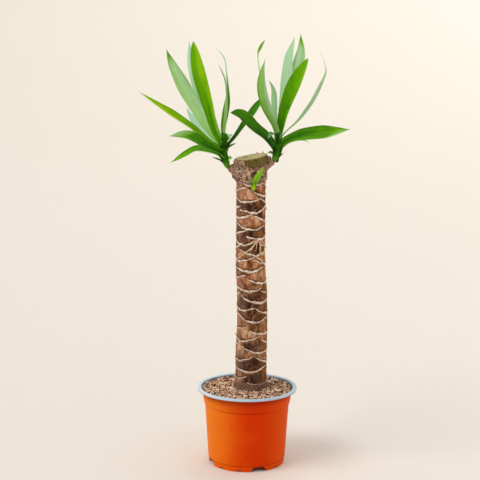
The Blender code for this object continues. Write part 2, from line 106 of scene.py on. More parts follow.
class Bench:
    """The node tree of one material."""

    def __init__(self, name: str) -> None:
        """Starts an empty material.

        Args:
            name: The material's name.
        """
        self.material = bpy.data.materials.new(name)
        self.material.use_nodes = True
        self.tree = self.material.node_tree
        self.tree.nodes.clear()

    def node(self, kind: str, settings: dict | None = None, inputs: dict | None = None,
             output: int | str = 0) -> Wire:
        """Adds a node.

        Args:
            kind: The node's type.
            settings: Its settings, which are made before its sockets are filled; stops fills a colour ramp.
            inputs: Numbers, colours or wires by socket name or index.
            output: The output that the wire comes from.

        Returns:
            The wire from that output.
        """
        made = self.tree.nodes.new(kind)
        for key, value in (settings or {}).items():
            if key == "stops":
                self.fill_ramp(made.color_ramp, value)
            else:
                setattr(made, key, value)
        for key, value in (inputs or {}).items():
            socket = made.inputs[key]
            if isinstance(value, Wire):
                self.tree.links.new(value.socket, socket)
            elif socket.type == "RGBA":
                socket.default_value = (*value, 1)
            else:
                socket.default_value = value
        return Wire(self, made.outputs[output])

    @staticmethod
    def fill_ramp(ramp: bpy.types.ColorRamp, stops: Stops) -> None:
        """Sets a colour ramp's stops.

        Args:
            ramp: The ramp.
            stops: Each stop's place and colour, in order.
        """
        while len(ramp.elements) < len(stops):
            ramp.elements.new(1.0)
        for element, (place, colour) in zip(ramp.elements, stops):
            element.position = place
            element.color = (*colour, 1)

    def mask(self, name: str) -> Wire:
        """A number stored on the mesh's points."""
        return self.node("ShaderNodeAttribute", {"attribute_name": name}, output="Fac")

    def place(self, stretch: Place) -> Wire:
        """The point's place on the object, stretched along each axis."""
        place = self.node("ShaderNodeTexCoord", output="Object")
        return self.node("ShaderNodeVectorMath", {"operation": "MULTIPLY"}, {0: place, 1: stretch})

    def millimetres(self, axis: str) -> Wire:
        """The point's place along the X, Y or Z axis."""
        return self.node("ShaderNodeSeparateXYZ", None, {0: self.place((1000, 1000, 1000))}, axis)

    def point(self, x: Wire, y: Wire, z: Wire) -> Wire:
        """A vector of three numbers."""
        return self.node("ShaderNodeCombineXYZ", None, {0: x, 1: y, 2: z})

    def grain(self, where: Wire | Place, scale: float, detail: float = 3.0, roughness: float = 0.5) -> Wire:
        """Soft noise from 0 to 1.

        Args:
            where: The place to read it at, or how much the object is stretched under it along each axis.
            scale: The number of lumps in a metre.
            detail: How many finer layers it has.
            roughness: How strong these are.

        Returns:
            The noise.
        """
        place = where if isinstance(where, Wire) else self.place(where)
        return self.node("ShaderNodeTexNoise", None,
                         {"Vector": place, "Scale": scale, "Detail": detail, "Roughness": roughness})

    def between(self, value: Wire, low: float, high: float) -> Wire:
        """A smooth step that is 0 at low and 1 at high."""
        return self.node("ShaderNodeMapRange", {"interpolation_type": "SMOOTHSTEP"},
                         {"Value": value, "From Min": low, "From Max": high})

    def flecks(self, stretch: Place, grain: tuple[float, float, float], low: float, high: float) -> Wire:
        """Grain of this stretch, scale, detail and roughness, cut to flecks between two of its values."""
        return self.between(self.grain(stretch, *grain), low, high)

    def mix(self, share: Wire | float, first: Wire | Colour, second: Wire | Colour,
            blend: str = "MIX") -> Wire:
        """The first colour with this share of the second laid over it."""
        return self.node("ShaderNodeMix", {"data_type": "RGBA", "blend_type": blend},
                         {0: share, 6: first, 7: second}, 2)

    def coated(self, colour: Wire | Colour, *coats: tuple[Wire, Wire | Colour]) -> Wire:
        """Lays colours over a colour.

        Args:
            colour: The colour underneath.
            *coats: The share and the colour of each coat, from the lowest up.

        Returns:
            The colour on top.
        """
        for share, coat in coats:
            colour = self.mix(share, colour, coat)
        return colour

    def ramp(self, value: Wire, stops: Stops) -> Wire:
        """A colour ramp."""
        return self.node("ShaderNodeValToRGB", {"stops": stops}, {0: value})

    def finish(self, colour: Wire, roughness: Wire | float, height: Wire, depth: float,
               gloss: float = 0.5) -> Material:
        """Ends the material in a Principled shader.

        Args:
            colour: The base colour.
            roughness: The roughness.
            height: The bump's height, from 0 to 1.
            depth: The bump's depth in millimetres.
            gloss: The specular level.

        Returns:
            The material.
        """
        bump = self.node("ShaderNodeBump", None, {"Strength": 1.0, "Distance": depth * MM, "Height": height})
        shader = self.node("ShaderNodeBsdfPrincipled", None, {
            "Base Color": colour, "Roughness": roughness, "Normal": bump, "Specular IOR Level": gloss,
        })
        output = self.tree.nodes.new("ShaderNodeOutputMaterial")
        self.tree.links.new(shader.socket, output.inputs["Surface"])
        return self.material


def dimmed(colour: Colour, share: float) -> Colour:
    """A darker shade of a colour."""
    return tuple(share * channel for channel in colour)


@dataclass(frozen=True)
class PotPlastic:
    """Satin moulded plastic with faint flow marks, scuffs, a little soil dust, and painted shade in its
    grooves.

    Attributes:
        colour: The clean plastic.
        worn: The plastic where it is scuffed.
        painted_light_left: Painted light: the plastic made lighter on the left side, as warm is a painted
            warm reflection on the right.
        grooves: The heights in millimetres of the grooves that get a line of painted shade, the lip's last,
            under which a wider band of painted shade runs.
        foot: Painted light: the lighter plastic of the foot, as if lit from the floor below.
        inner: Painted shade: the darker plastic inside the lip, within the radius lip_inside.
        shade: How much of each channel is left in the lip's shade.
    """

    name: str
    colour: Colour
    worn: Colour
    painted_light_left: Colour
    painted_reflection_right: Colour
    grooves: tuple[float, ...] = ()
    foot: Colour | None = None
    inner: Colour | None = None
    lip_inside: float = 79.4
    roughness: float = 0.4
    dust: Colour = (0.1, 0.055, 0.03)
    shade: Colour = (0.36, 0.1, 0.36)

    def material(self) -> Material:
        """Makes the plastic.

        Returns:
            Its material.
        """
        bench = Bench(self.name)
        flow = bench.grain((9, 9, 1.4), 4.0, 4.0)
        haze = bench.grain(EVEN, 26.0, 4.0, 0.6)
        scuffs = bench.flecks((1, 1, 5), (160.0, 3.0, 0.7), 0.66, 0.76)
        sideways, rise = bench.millimetres("X"), bench.millimetres("Z")
        coats = [
            (flow * 0.22, dimmed(self.colour, 0.84)), (bench.between(haze, 0.45, 0.8) * 0.2, self.worn),
            # Painted light: lighter plastic towards the left, and a painted warm reflection towards the
            # right.
            (bench.between(30.0 * haze - sideways, 4.0, 92.0), self.painted_light_left),
            (bench.between(sideways, 20.0, 68.0), self.painted_reflection_right),
        ]
        # Painted light: the foot is made lighter, as if lit from the floor.
        if self.foot:
            coats.append((bench.between(rise, 9.6, 8.6) * 0.4, self.foot))
        # Painted shade: darker plastic on the lip's inner slope and the wall below it.
        if self.inner:
            reach = bench.node("ShaderNodeVectorMath", {"operation": "LENGTH"},
                               {0: bench.place((1000, 1000, 0))}, "Value")
            coats.append((bench.between(reach, self.lip_inside, self.lip_inside - 2.6), self.inner))
        # Painted shade: a darker band under the lip, and a darker line at each groove.
        if self.grooves:
            under_lip = bench.between(rise, self.grooves[-1] - 15.0, self.grooves[-1])
            coats.append((under_lip * 0.62, tuple(c * s for c, s in zip(self.colour, self.shade))))
        for level in self.grooves:
            near = bench.between(rise, level - 1.5, level - 0.2) * bench.between(rise, level + 0.5, level)
            coats.append((near * 0.62, dimmed(self.colour, 0.3)))
        coats.append((scuffs * 0.16, self.worn))
        coats.append((bench.flecks(EVEN, (420.0, 2.0, 0.5), 0.71, 0.78) * 0.25, self.dust))
        roughness = self.roughness + 0.1 * haze + 0.14 * scuffs
        height = 0.5 * bench.grain(EVEN, 900.0, 2.0) + 0.5 * flow
        return bench.finish(bench.coated(self.colour, *coats), roughness, height, 0.05, 0.04)


@dataclass(frozen=True)
class PottingSoil:
    """Peat and coir: its tone mask runs from wet peat to dry, pale chips. Lift makes it drier all over."""

    name: str
    lift: float = 0.0
    tones: Stops = (
        (0.0, (0.012, 0.006, 0.004)), (0.22, (0.09, 0.038, 0.019)), (0.46, (0.36, 0.17, 0.094)),
        (0.74, (0.615, 0.338, 0.21)), (1.0, (0.98, 0.79, 0.62)),
    )

    def material(self) -> Material:
        """Makes the soil.

        Returns:
            Its material.
        """
        bench = Bench(self.name)
        fine = bench.grain(EVEN, 520.0, 4.0, 0.65)
        patch = bench.grain(EVEN, 48.0, 3.0)
        clump = bench.grain(EVEN, 190.0, 2.0)
        # Painted shade: hollows are dark flecks laid over the soil.
        hollows = bench.flecks(EVEN, (135.0, 2.0, 0.4), 0.49, 0.38)
        shaded = bench.between(bench.millimetres("X"), 5.0, 45.0)
        tone = bench.mask("tone") * 1.12 + (fine - 0.5) * 0.7 + (patch - 0.5) * 1.05 + (clump - 0.5) * 2.2
        tone = tone + (0.27 + self.lift) - shaded * 0.1 - hollows * 0.42
        return bench.finish(bench.ramp(tone, self.tones), 0.92, fine, 0.6, 0.12)


@dataclass(frozen=True)
class Bark:
    """Scarred bark.

    Its masks are near, the distance to the nearest scar's lip in lip widths; cord, the thinner lip under it;
    tone, which sets one plate apart from the next; rise, the millimetres above the scar's own lip; cavity,
    for painted shade in grooves and pits; crust, at the cane's head; and earth, at its foot.

    Attributes:
        plates: The bark between the scars, from dark to light.
        left: Painted light: a cool tint on the plates' left side, as right is a painted warm reflection on
            their right side.
        upper: A painted warm reflection that dims them in the cane's upper part.
        lips: A scar's lip: dull, pale, and pale in the upper part.
        shadow: The dark line under a lip.
        crust: The crust's hollows, in painted shade, then its crumbs and its flecks.
        earth: The soil's stain, its dark crumbs and its pale crumbs.
    """

    name: str
    plates: Stops = (
        (0.0, (0.018, 0.007, 0.004)), (0.25, (0.062, 0.022, 0.009)), (0.5, (0.21, 0.082, 0.034)),
        (0.75, (0.435, 0.205, 0.098)), (1.0, (0.74, 0.47, 0.3)),
    )
    rust: Colour = (0.33, 0.14, 0.04)
    ash: Colour = (0.25, 0.155, 0.13)
    dash: Colour = (0.76, 0.57, 0.46)
    crack: Colour = (0.03, 0.014, 0.01)
    amber: Colour = (0.62, 0.29, 0.045)
    left: Colour = (0.37, 0.225, 0.18)
    right: Colour = (0.43, 0.19, 0.06)
    upper: Colour = (1.0, 0.8, 0.64)
    lips: tuple[Colour, Colour, Colour] = ((0.56, 0.37, 0.28), (0.86, 0.675, 0.56), (1.0, 0.87, 0.77))
    pit: Colour = (0.4, 0.24, 0.16)
    second: Colour = (0.56, 0.43, 0.34)
    shadow: Colour = (0.045, 0.02, 0.012)
    crust: tuple[Colour, Colour, Colour] = ((0.05, 0.018, 0.009), (0.62, 0.385, 0.28), (0.93, 0.79, 0.69))
    # Painted shade: the colour multiplied in where the cavity mask marks grooves and pits.
    cavity: Colour = (0.22, 0.14, 0.12)
    earth: tuple[Colour, Colour, Colour] = ((0.06, 0.03, 0.022), (0.028, 0.015, 0.011), (0.33, 0.195, 0.135))

    def material(self) -> Material:
        """Makes the bark.

        Returns:
            Its material.
        """
        bench = Bench(self.name)
        tone, near = bench.mask("tone"), bench.mask("near")
        crust, earth = bench.mask("crust"), bench.mask("earth")
        upright = bench.grain((1, 1, 0.14), 520.0, 4.0, 0.65)
        coarse = bench.grain((1, 1, 0.5), 150.0, 4.0, 0.6)
        fine = bench.grain(EVEN, 900.0, 3.0, 0.6)
        blotch = bench.grain((1, 1, 0.7), 95.0, 3.0, 0.55)
        layers = bench.grain(bench.point(bench.mask("rise") * 0.9, coarse * 2.0, tone * 9.0), 1.0, 2.0)
        sideways, upper = bench.millimetres("X"), bench.between(bench.millimetres("Z"), 240.0, 330.0)
        value = tone * 0.7 + (upright - 0.5) * 0.8 + (coarse - 0.5) * 1.25 + (layers - 0.5) * 0.35
        value = value + (blotch - 0.5) * 1.55 + 0.06
        dashes = bench.flecks((0.45, 0.45, 1.8), (250.0, 3.0, 0.65), 0.58, 0.68)
        amber = bench.flecks(EVEN, (130.0, 2.0, 0.5), 0.55, 0.64) * bench.between(near, 5.0, 1.5)
        panel = bench.coated(
            bench.ramp(value, self.plates),
            (bench.flecks((1, 1, 0.8), (75.0, 3.0, 0.5), 0.54, 0.68) * 0.5, self.rust),
            (bench.flecks((1, 1, 0.6), (58.0, 2.0, 0.5), 0.54, 0.7) * 0.28, self.ash),
            (dashes * (0.2 + 0.4 * upper), self.dash),
            (bench.flecks((1, 1, 0.1), (300.0, 3.0, 0.7), 0.42, 0.34) * 0.75, self.crack),
            (amber * 0.8, self.amber),
            # Painted light: a cool tint on the left side, and a painted warm reflection on the right side.
            (bench.between(sideways, 6.0, -20.0) * 0.3, self.left),
            (bench.between(sideways, 12.0, 32.0) * 0.3, self.right),
        )
        # Painted reflection: a warm tint over the plates in the cane's upper part.
        panel = bench.mix(upper * 0.5, panel, self.upper, "MULTIPLY")
        dull, pale, palest = self.lips
        cord = bench.mix(bench.between(coarse, 0.34, 0.6), dull, bench.mix(upper, pale, palest))
        cord = bench.mix(bench.between(fine, 0.5, 0.34) * 0.25, cord, self.pit)
        edge = near + (upright - 0.5) * 0.7 + (coarse - 0.5) * 1.2
        shown = bench.between(edge, 2.15, 1.1)
        second = bench.between(bench.mask("cord") + (upright - 0.5) * 0.5, 0.52, 0.8) * 0.4
        # Painted shade: the crust's hollows are its darkest colour.
        hollow, crumb, fleck = self.crust
        crusty = bench.mix(bench.between(coarse, 0.36, 0.6), hollow, crumb)
        crusty = bench.mix(bench.flecks((1, 1, 0.5), (330.0, 3.0, 0.7), 0.56, 0.66) * 0.9, crusty, fleck)
        colour = bench.coated(
            panel, (second, self.second),
            (bench.between(edge, 4.0, 1.7) * (1 - shown) * 0.55, self.shadow),
            (shown * (1 - crust * 0.5), cord), (crust * 0.7, crusty),
        )
        # Painted shade: grooves and pits are darkened through the cavity mask.
        cavity = bench.between(bench.mask("cavity"), 0.0, 1.0)
        colour = bench.mix(cavity * 0.85, colour, self.cavity, "MULTIPLY")
        crumbs = bench.between(earth + (coarse - 0.5) * 0.9 + (fine - 0.5) * 0.5, 0.42, 0.68)
        stain, dark, light = self.earth
        dusty = bench.mix(bench.between(fine, 0.38, 0.62), dark, light)
        colour = bench.coated(colour, (earth * 0.35, stain), (crumbs * 0.85, dusty))
        return bench.finish(colour, 0.86, 0.4 * upright + 0.2 * fine + 0.4 * coarse, 0.9, 0.1)


@dataclass(frozen=True)
class RootSkin:
    """The thin pale skin of aerial roots, with darker patches."""

    name: str
    pale: Colour = (0.92, 0.74, 0.54)
    dark: Colour = (0.6, 0.36, 0.17)

    def material(self) -> Material:
        """Makes the root skin.

        Returns:
            Its material.
        """
        bench = Bench(self.name)
        fine = bench.grain(EVEN, 450.0, 3.0, 0.6)
        return bench.finish(bench.mix(bench.between(fine, 0.3, 0.75), self.dark, self.pale), 0.7, fine, 0.3)


@dataclass(frozen=True)
class SealingWax:
    """Olive wax: dull and gritty on the cut, darker and smoother down the side.

    Its masks are top, for the cut, and edge, for the rubbed rim between them.
    """

    name: str
    side: Stops = ((0.3, (0.04, 0.028, 0.002)), (0.5, (0.11, 0.078, 0.007)), (0.7, (0.26, 0.19, 0.035)))
    stain: Colour = (0.23, 0.11, 0.03)
    cut: Stops = ((0.3, (0.23, 0.175, 0.07)), (0.5, (0.58, 0.49, 0.245)), (0.68, (0.88, 0.78, 0.47)))
    grime: Colour = (0.23, 0.15, 0.06)
    rim: Colour = (0.48, 0.4, 0.22)

    def material(self) -> Material:
        """Makes the wax.

        Returns:
            Its material.
        """
        bench = Bench(self.name)
        top = bench.mask("top")
        gritty = bench.grain(EVEN, 520.0, 4.0, 0.7)
        cloud = bench.grain((1, 1, 0.5), 120.0, 3.0)
        runs = bench.grain((1, 1, 0.2), 260.0, 3.0)
        side = bench.ramp(cloud * 0.6 + runs * 0.4, self.side)
        side = bench.mix(bench.between(runs, 0.58, 0.72) * 0.5, side, self.stain)
        cut = bench.mix(bench.between(cloud, 0.5, 0.64) * 0.55, bench.ramp(gritty, self.cut), self.grime)
        rubbed = bench.mask("edge") * bench.between(gritty, 0.35, 0.6) * 0.8
        colour = bench.coated(side, (top, cut), (rubbed, self.rim))
        height = gritty * (0.35 + 0.65 * top) + 0.4 * runs
        return bench.finish(colour, 0.48 + 0.3 * top, height, 0.7, 0.13)


@dataclass(frozen=True)
class LeafSkin:
    """A yucca leaf: glossy green on one side and waxy pale on the other, with fine veins along the blade.

    Its masks are shade, wax, blue, dry, fold, rim and seed, and along and across in millimetres.

    The greens run from shaded to sunny, fold dims the stripe along the middle with painted shade, and grassy
    is the lower side where its wax is thin.
    """

    name: str
    greens: Stops = (
        (0.0, (0.012, 0.07, 0.001)), (0.35, (0.052, 0.24, 0.0)), (0.68, (0.16, 0.44, 0.0)),
        (1.0, (0.38, 0.58, 0.0)),
    )
    fold: Colour = (0.26, 0.5, 0.26)
    grassy: Colour = (0.2, 0.47, 0.03)
    waxy: Colour = (0.42, 0.68, 0.35)
    bluish: Colour = (0.38, 0.62, 0.49)
    margin: Colour = (0.42, 0.6, 0.18)
    withered: Colour = (0.2, 0.085, 0.028)

    def material(self) -> Material:
        """Makes the leaf skin.

        Returns:
            Its material.
        """
        bench = Bench(self.name)
        along, across, seed = bench.mask("along"), bench.mask("across"), bench.mask("seed")
        # The wax mask is the lower face's waxy bloom, and on the upper face a painted sheen: a painted
        # reflection.
        wax = bench.mask("wax")
        veins = bench.grain(bench.point(across * 1.35, along * 0.012, seed * 31.0), 1.0, 3.0, 0.6)
        bands = bench.grain(bench.point(across * 0.34, along * 0.01, seed * 17.0 + 4.0), 1.0, 2.0)
        clouds = bench.grain(bench.point(across * 0.05, along * 0.045, seed * 23.0 + 9.0), 1.0)
        light = bench.mask("shade") + (bands - 0.5) * 0.46 + (veins - 0.5) * 0.26 + (clouds - 0.5) * 0.42
        # Painted shade: fold darkens a stripe along the blade's fold.
        upper = bench.mix(bench.mask("fold") * 0.8, bench.ramp(light, self.greens), self.fold, "MULTIPLY")
        pale = bench.between(wax + (veins - 0.5) * 0.55 + (bands - 0.5) * 0.55, 0.05, 1.0)
        bloom = bench.mix(pale, self.grassy, bench.mix(bench.mask("blue"), self.waxy, self.bluish))
        lower = bench.node("ShaderNodeVectorMath", {"operation": "SCALE"},
                           {0: bloom, "Scale": 0.7 + 0.6 * light})
        dry = bench.between(bench.mask("dry") + (clouds - 0.5) * 0.4, 0.25, 0.75)
        colour = bench.coated(
            upper, (bench.between(wax, 0.02, 0.22), lower),
            (bench.between(bench.mask("rim"), 0.9, 0.98) * 0.35, self.margin), (dry, self.withered),
        )
        roughness = 0.4 + 0.12 * pale + 0.1 * veins + 0.2 * dry
        return bench.finish(colour, roughness, 0.75 * veins + 0.5 * bands, 0.24, 0.07)


@dataclass(frozen=True)
class StudioPaper:
    """Pale seamless paper under the plant."""

    name: str
    colour: Colour = (0.8, 0.765, 0.715)

    def material(self) -> Material:
        """Makes the paper.

        Returns:
            Its material.
        """
        bench = Bench(self.name)
        fibre = bench.grain(EVEN, 60.0, 4.0)
        return bench.finish(bench.mix(fibre * 0.1, self.colour, dimmed(self.colour, 0.93)), 0.85, fibre, 0.1)


def smooth(share: Array | float) -> Array:
    """A smooth step from 0 to 1."""
    share = np.clip(share, 0.0, 1.0)
    return share * share * (3 - 2 * share)


def soft_noise(points: Array, size: float, seed: float = 0.0) -> Array:
    """Perlin noise at each point.

    Args:
        points: Points in millimetres, one in each row.
        size: The size of its lumps in millimetres.
        seed: A shift that gives another noise.

    Returns:
        A number near -1 to 1 for each point.
    """
    shift = Vector((seed * 7.3, seed * 3.1, seed * 5.7))
    return np.array([noise.noise(Vector(p) / size + shift) for p in points.tolist()])


def turned_from(turns: Array, middle: float) -> Array:
    """How far these turns are from a middle one, from -180 to 180 degrees."""
    return (turns - middle + 180) % 360 - 180


def level_ring(middle: float, radius: float, height: float, turns: Array) -> Array:
    """Points at these turns, in radians, round an upright axis that stands at (middle, 0)."""
    x, y = middle + radius * np.cos(turns), radius * np.sin(turns)
    return np.stack([x, y, np.full_like(turns, height)], -1)


def wound_faces(rings: int, columns: int) -> Array:
    """Quads through closed rings of points, numbered ring by ring.

    Args:
        rings: The number of rings.
        columns: The points in a ring.

    Returns:
        The corners of each quad.
    """
    ring, column = np.meshgrid(np.arange(rings - 1), np.arange(columns), indexing="ij")
    low, after = ring * columns, (column + 1) % columns
    high = low + columns
    return np.stack([low + column, low + after, high + after, high + column], -1).reshape(-1, 4)


def capped_faces(rings: int, columns: int) -> Faces:
    """Quads through closed rings, with a fan to a pole at each end.

    Args:
        rings: The number of rings.
        columns: The points in a ring; the two poles are the last two points.

    Returns:
        The corners of each face.
    """
    faces = wound_faces(rings, columns).tolist()
    first, last, top = rings * columns, rings * columns + 1, (rings - 1) * columns
    for column in range(columns):
        after = (column + 1) % columns
        faces += [[first, after, column], [last, top + column, top + after]]
    return faces


def new_piece(name: str, points: Array, faces: Sequence, materials: Sequence[Material],
              masks: dict[str, Array] | None = None, crease: float = 50.0) -> Piece:
    """Makes an object from points in millimetres.

    Args:
        name: The object's name.
        points: One point in each row.
        faces: The corners of each face.
        materials: Its materials; the first is used where no face asks for another.
        masks: Numbers for the material, one for each point.
        crease: The angle in degrees past which an edge is sharp.

    Returns:
        The object.
    """
    mesh = bpy.data.meshes.new(name)
    mesh.from_pydata((np.asarray(points, float) * MM).tolist(), [], faces)
    for material in materials:
        mesh.materials.append(material)
    for key, values in (masks or {}).items():
        layer = mesh.attributes.new(key, "FLOAT", "POINT")
        layer.data.foreach_set("value", np.asarray(values, np.float32).ravel())
    mesh.shade_smooth()
    mesh.set_sharp_from_angle(angle=math.radians(crease))
    piece = bpy.data.objects.new(name, mesh)
    bpy.context.scene.collection.objects.link(piece)
    return piece


def settle(piece: Piece, node: str | None = None) -> None:
    """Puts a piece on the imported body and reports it.

    Args:
        piece: The piece.
        node: The solid that it stands for.
    """
    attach(piece, "root")
    if node:
        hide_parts(node)
    LOG.info("%s: %d faces", piece.name, len(piece.data.polygons))


def smooth_line(knots: Sequence[Place] | Array, count: int) -> Array:
    """Evenly spaced points along a smooth curve through the given ones.

    Args:
        knots: The points to pass.
        count: How many steps to take.

    Returns:
        count + 1 points.
    """
    knots = np.asarray(knots, float)
    knots = np.vstack([2 * knots[0] - knots[1], knots, 2 * knots[-1] - knots[-2]])
    t = (np.arange(24) / 24)[:, None]
    dense = []
    for before, start, end, after in zip(knots, knots[1:], knots[2:], knots[3:]):
        square, cube = 2 * before - 5 * start + 4 * end - after, 3 * start - before - 3 * end + after
        dense.append(0.5 * (2 * start + (end - before) * t + square * t ** 2 + cube * t ** 3))
    dense = np.vstack([*dense, knots[-2:-1]])
    lengths = np.concatenate([[0], np.cumsum(np.linalg.norm(np.diff(dense, axis=0), axis=1))])
    wanted = np.linspace(0, lengths[-1], count + 1)
    return np.stack([np.interp(wanted, lengths, dense[:, axis]) for axis in range(3)], 1)


def unit(vectors: Array) -> Array:
    """The same directions at length 1."""
    return vectors / (np.linalg.norm(vectors, axis=-1, keepdims=True) + 1e-12)


def directions(path: Array) -> Array:
    """The way along a path at each of its points."""
    return unit(np.gradient(path, axis=0))


def sheet_faces(rows: int, columns: int) -> Faces:
    """Quads of a thin sheet: its front, its back and its edge.

    Args:
        rows: The rows of points.
        columns: The points in a row; the back's points follow the front's.

    Returns:
        The faces.
    """
    count = rows * columns
    faces = []
    for row in range(rows - 1):
        for column in range(columns - 1):
            a = row * columns + column
            quad = [a, a + 1, a + 1 + columns, a + columns]
            faces += [quad, [c + count for c in quad[::-1]]]
    rim = [*range(columns), *(r * columns + columns - 1 for r in range(1, rows)),
           *(count - 1 - c for c in range(1, columns)), *(r * columns for r in range(rows - 2, 0, -1))]
    for first, second in zip(rim, rim[1:] + rim[:1]):
        faces.append([second, first, first + count, second + count])
    return faces


def tube(path: Array, radii: Array, sides: int) -> tuple[Array, Faces]:
    """A closed tube of round rings across a path.

    Args:
        path: The points along its middle.
        radii: The radius at each.
        sides: The number of points in a ring.

    Returns:
        Its points and faces.
    """
    along = directions(path)
    across = np.zeros_like(path)
    side = np.array([0.0, 1.0, 0.0])
    for index, way in enumerate(along):
        side = unit(side - way * side.dot(way))
        across[index] = side
    other = np.cross(along, across)
    turns = np.arange(sides) * math.tau / sides
    ring = across[:, None] * np.cos(turns)[None, :, None] + other[:, None] * np.sin(turns)[None, :, None]
    points = path[:, None] + ring * np.asarray(radii)[:, None, None]
    points = np.vstack([points.reshape(-1, 3), path[:1], path[-1:]])
    return points, capped_faces(len(path), sides)


class Heap:
    """Many small shapes gathered in one mesh."""

    def __init__(self) -> None:
        """Starts empty."""
        self.points: list[Array] = []
        self.faces: Faces = []
        self.masks: dict[str, list[Array]] = {}
        self.count = 0

    def add(self, points: Array, faces: Sequence, **masks: Array | float) -> None:
        """Adds one shape.

        Args:
            points: Its points.
            faces: Its faces, numbered from its own first point.
            **masks: Each mask's number, or numbers for its points.
        """
        self.faces.extend([[corner + self.count for corner in face] for face in faces])
        for key, value in masks.items():
            self.masks.setdefault(key, []).append(np.broadcast_to(np.asarray(value, float), (len(points),)))
        self.points.append(points)
        self.count += len(points)

    def piece(self, name: str, material: Material, crease: float = 50.0) -> Piece:
        """The whole heap as one object."""
        masks = {key: np.concatenate(values) for key, values in self.masks.items()}
        return new_piece(name, np.vstack(self.points), self.faces, [material], masks, crease)


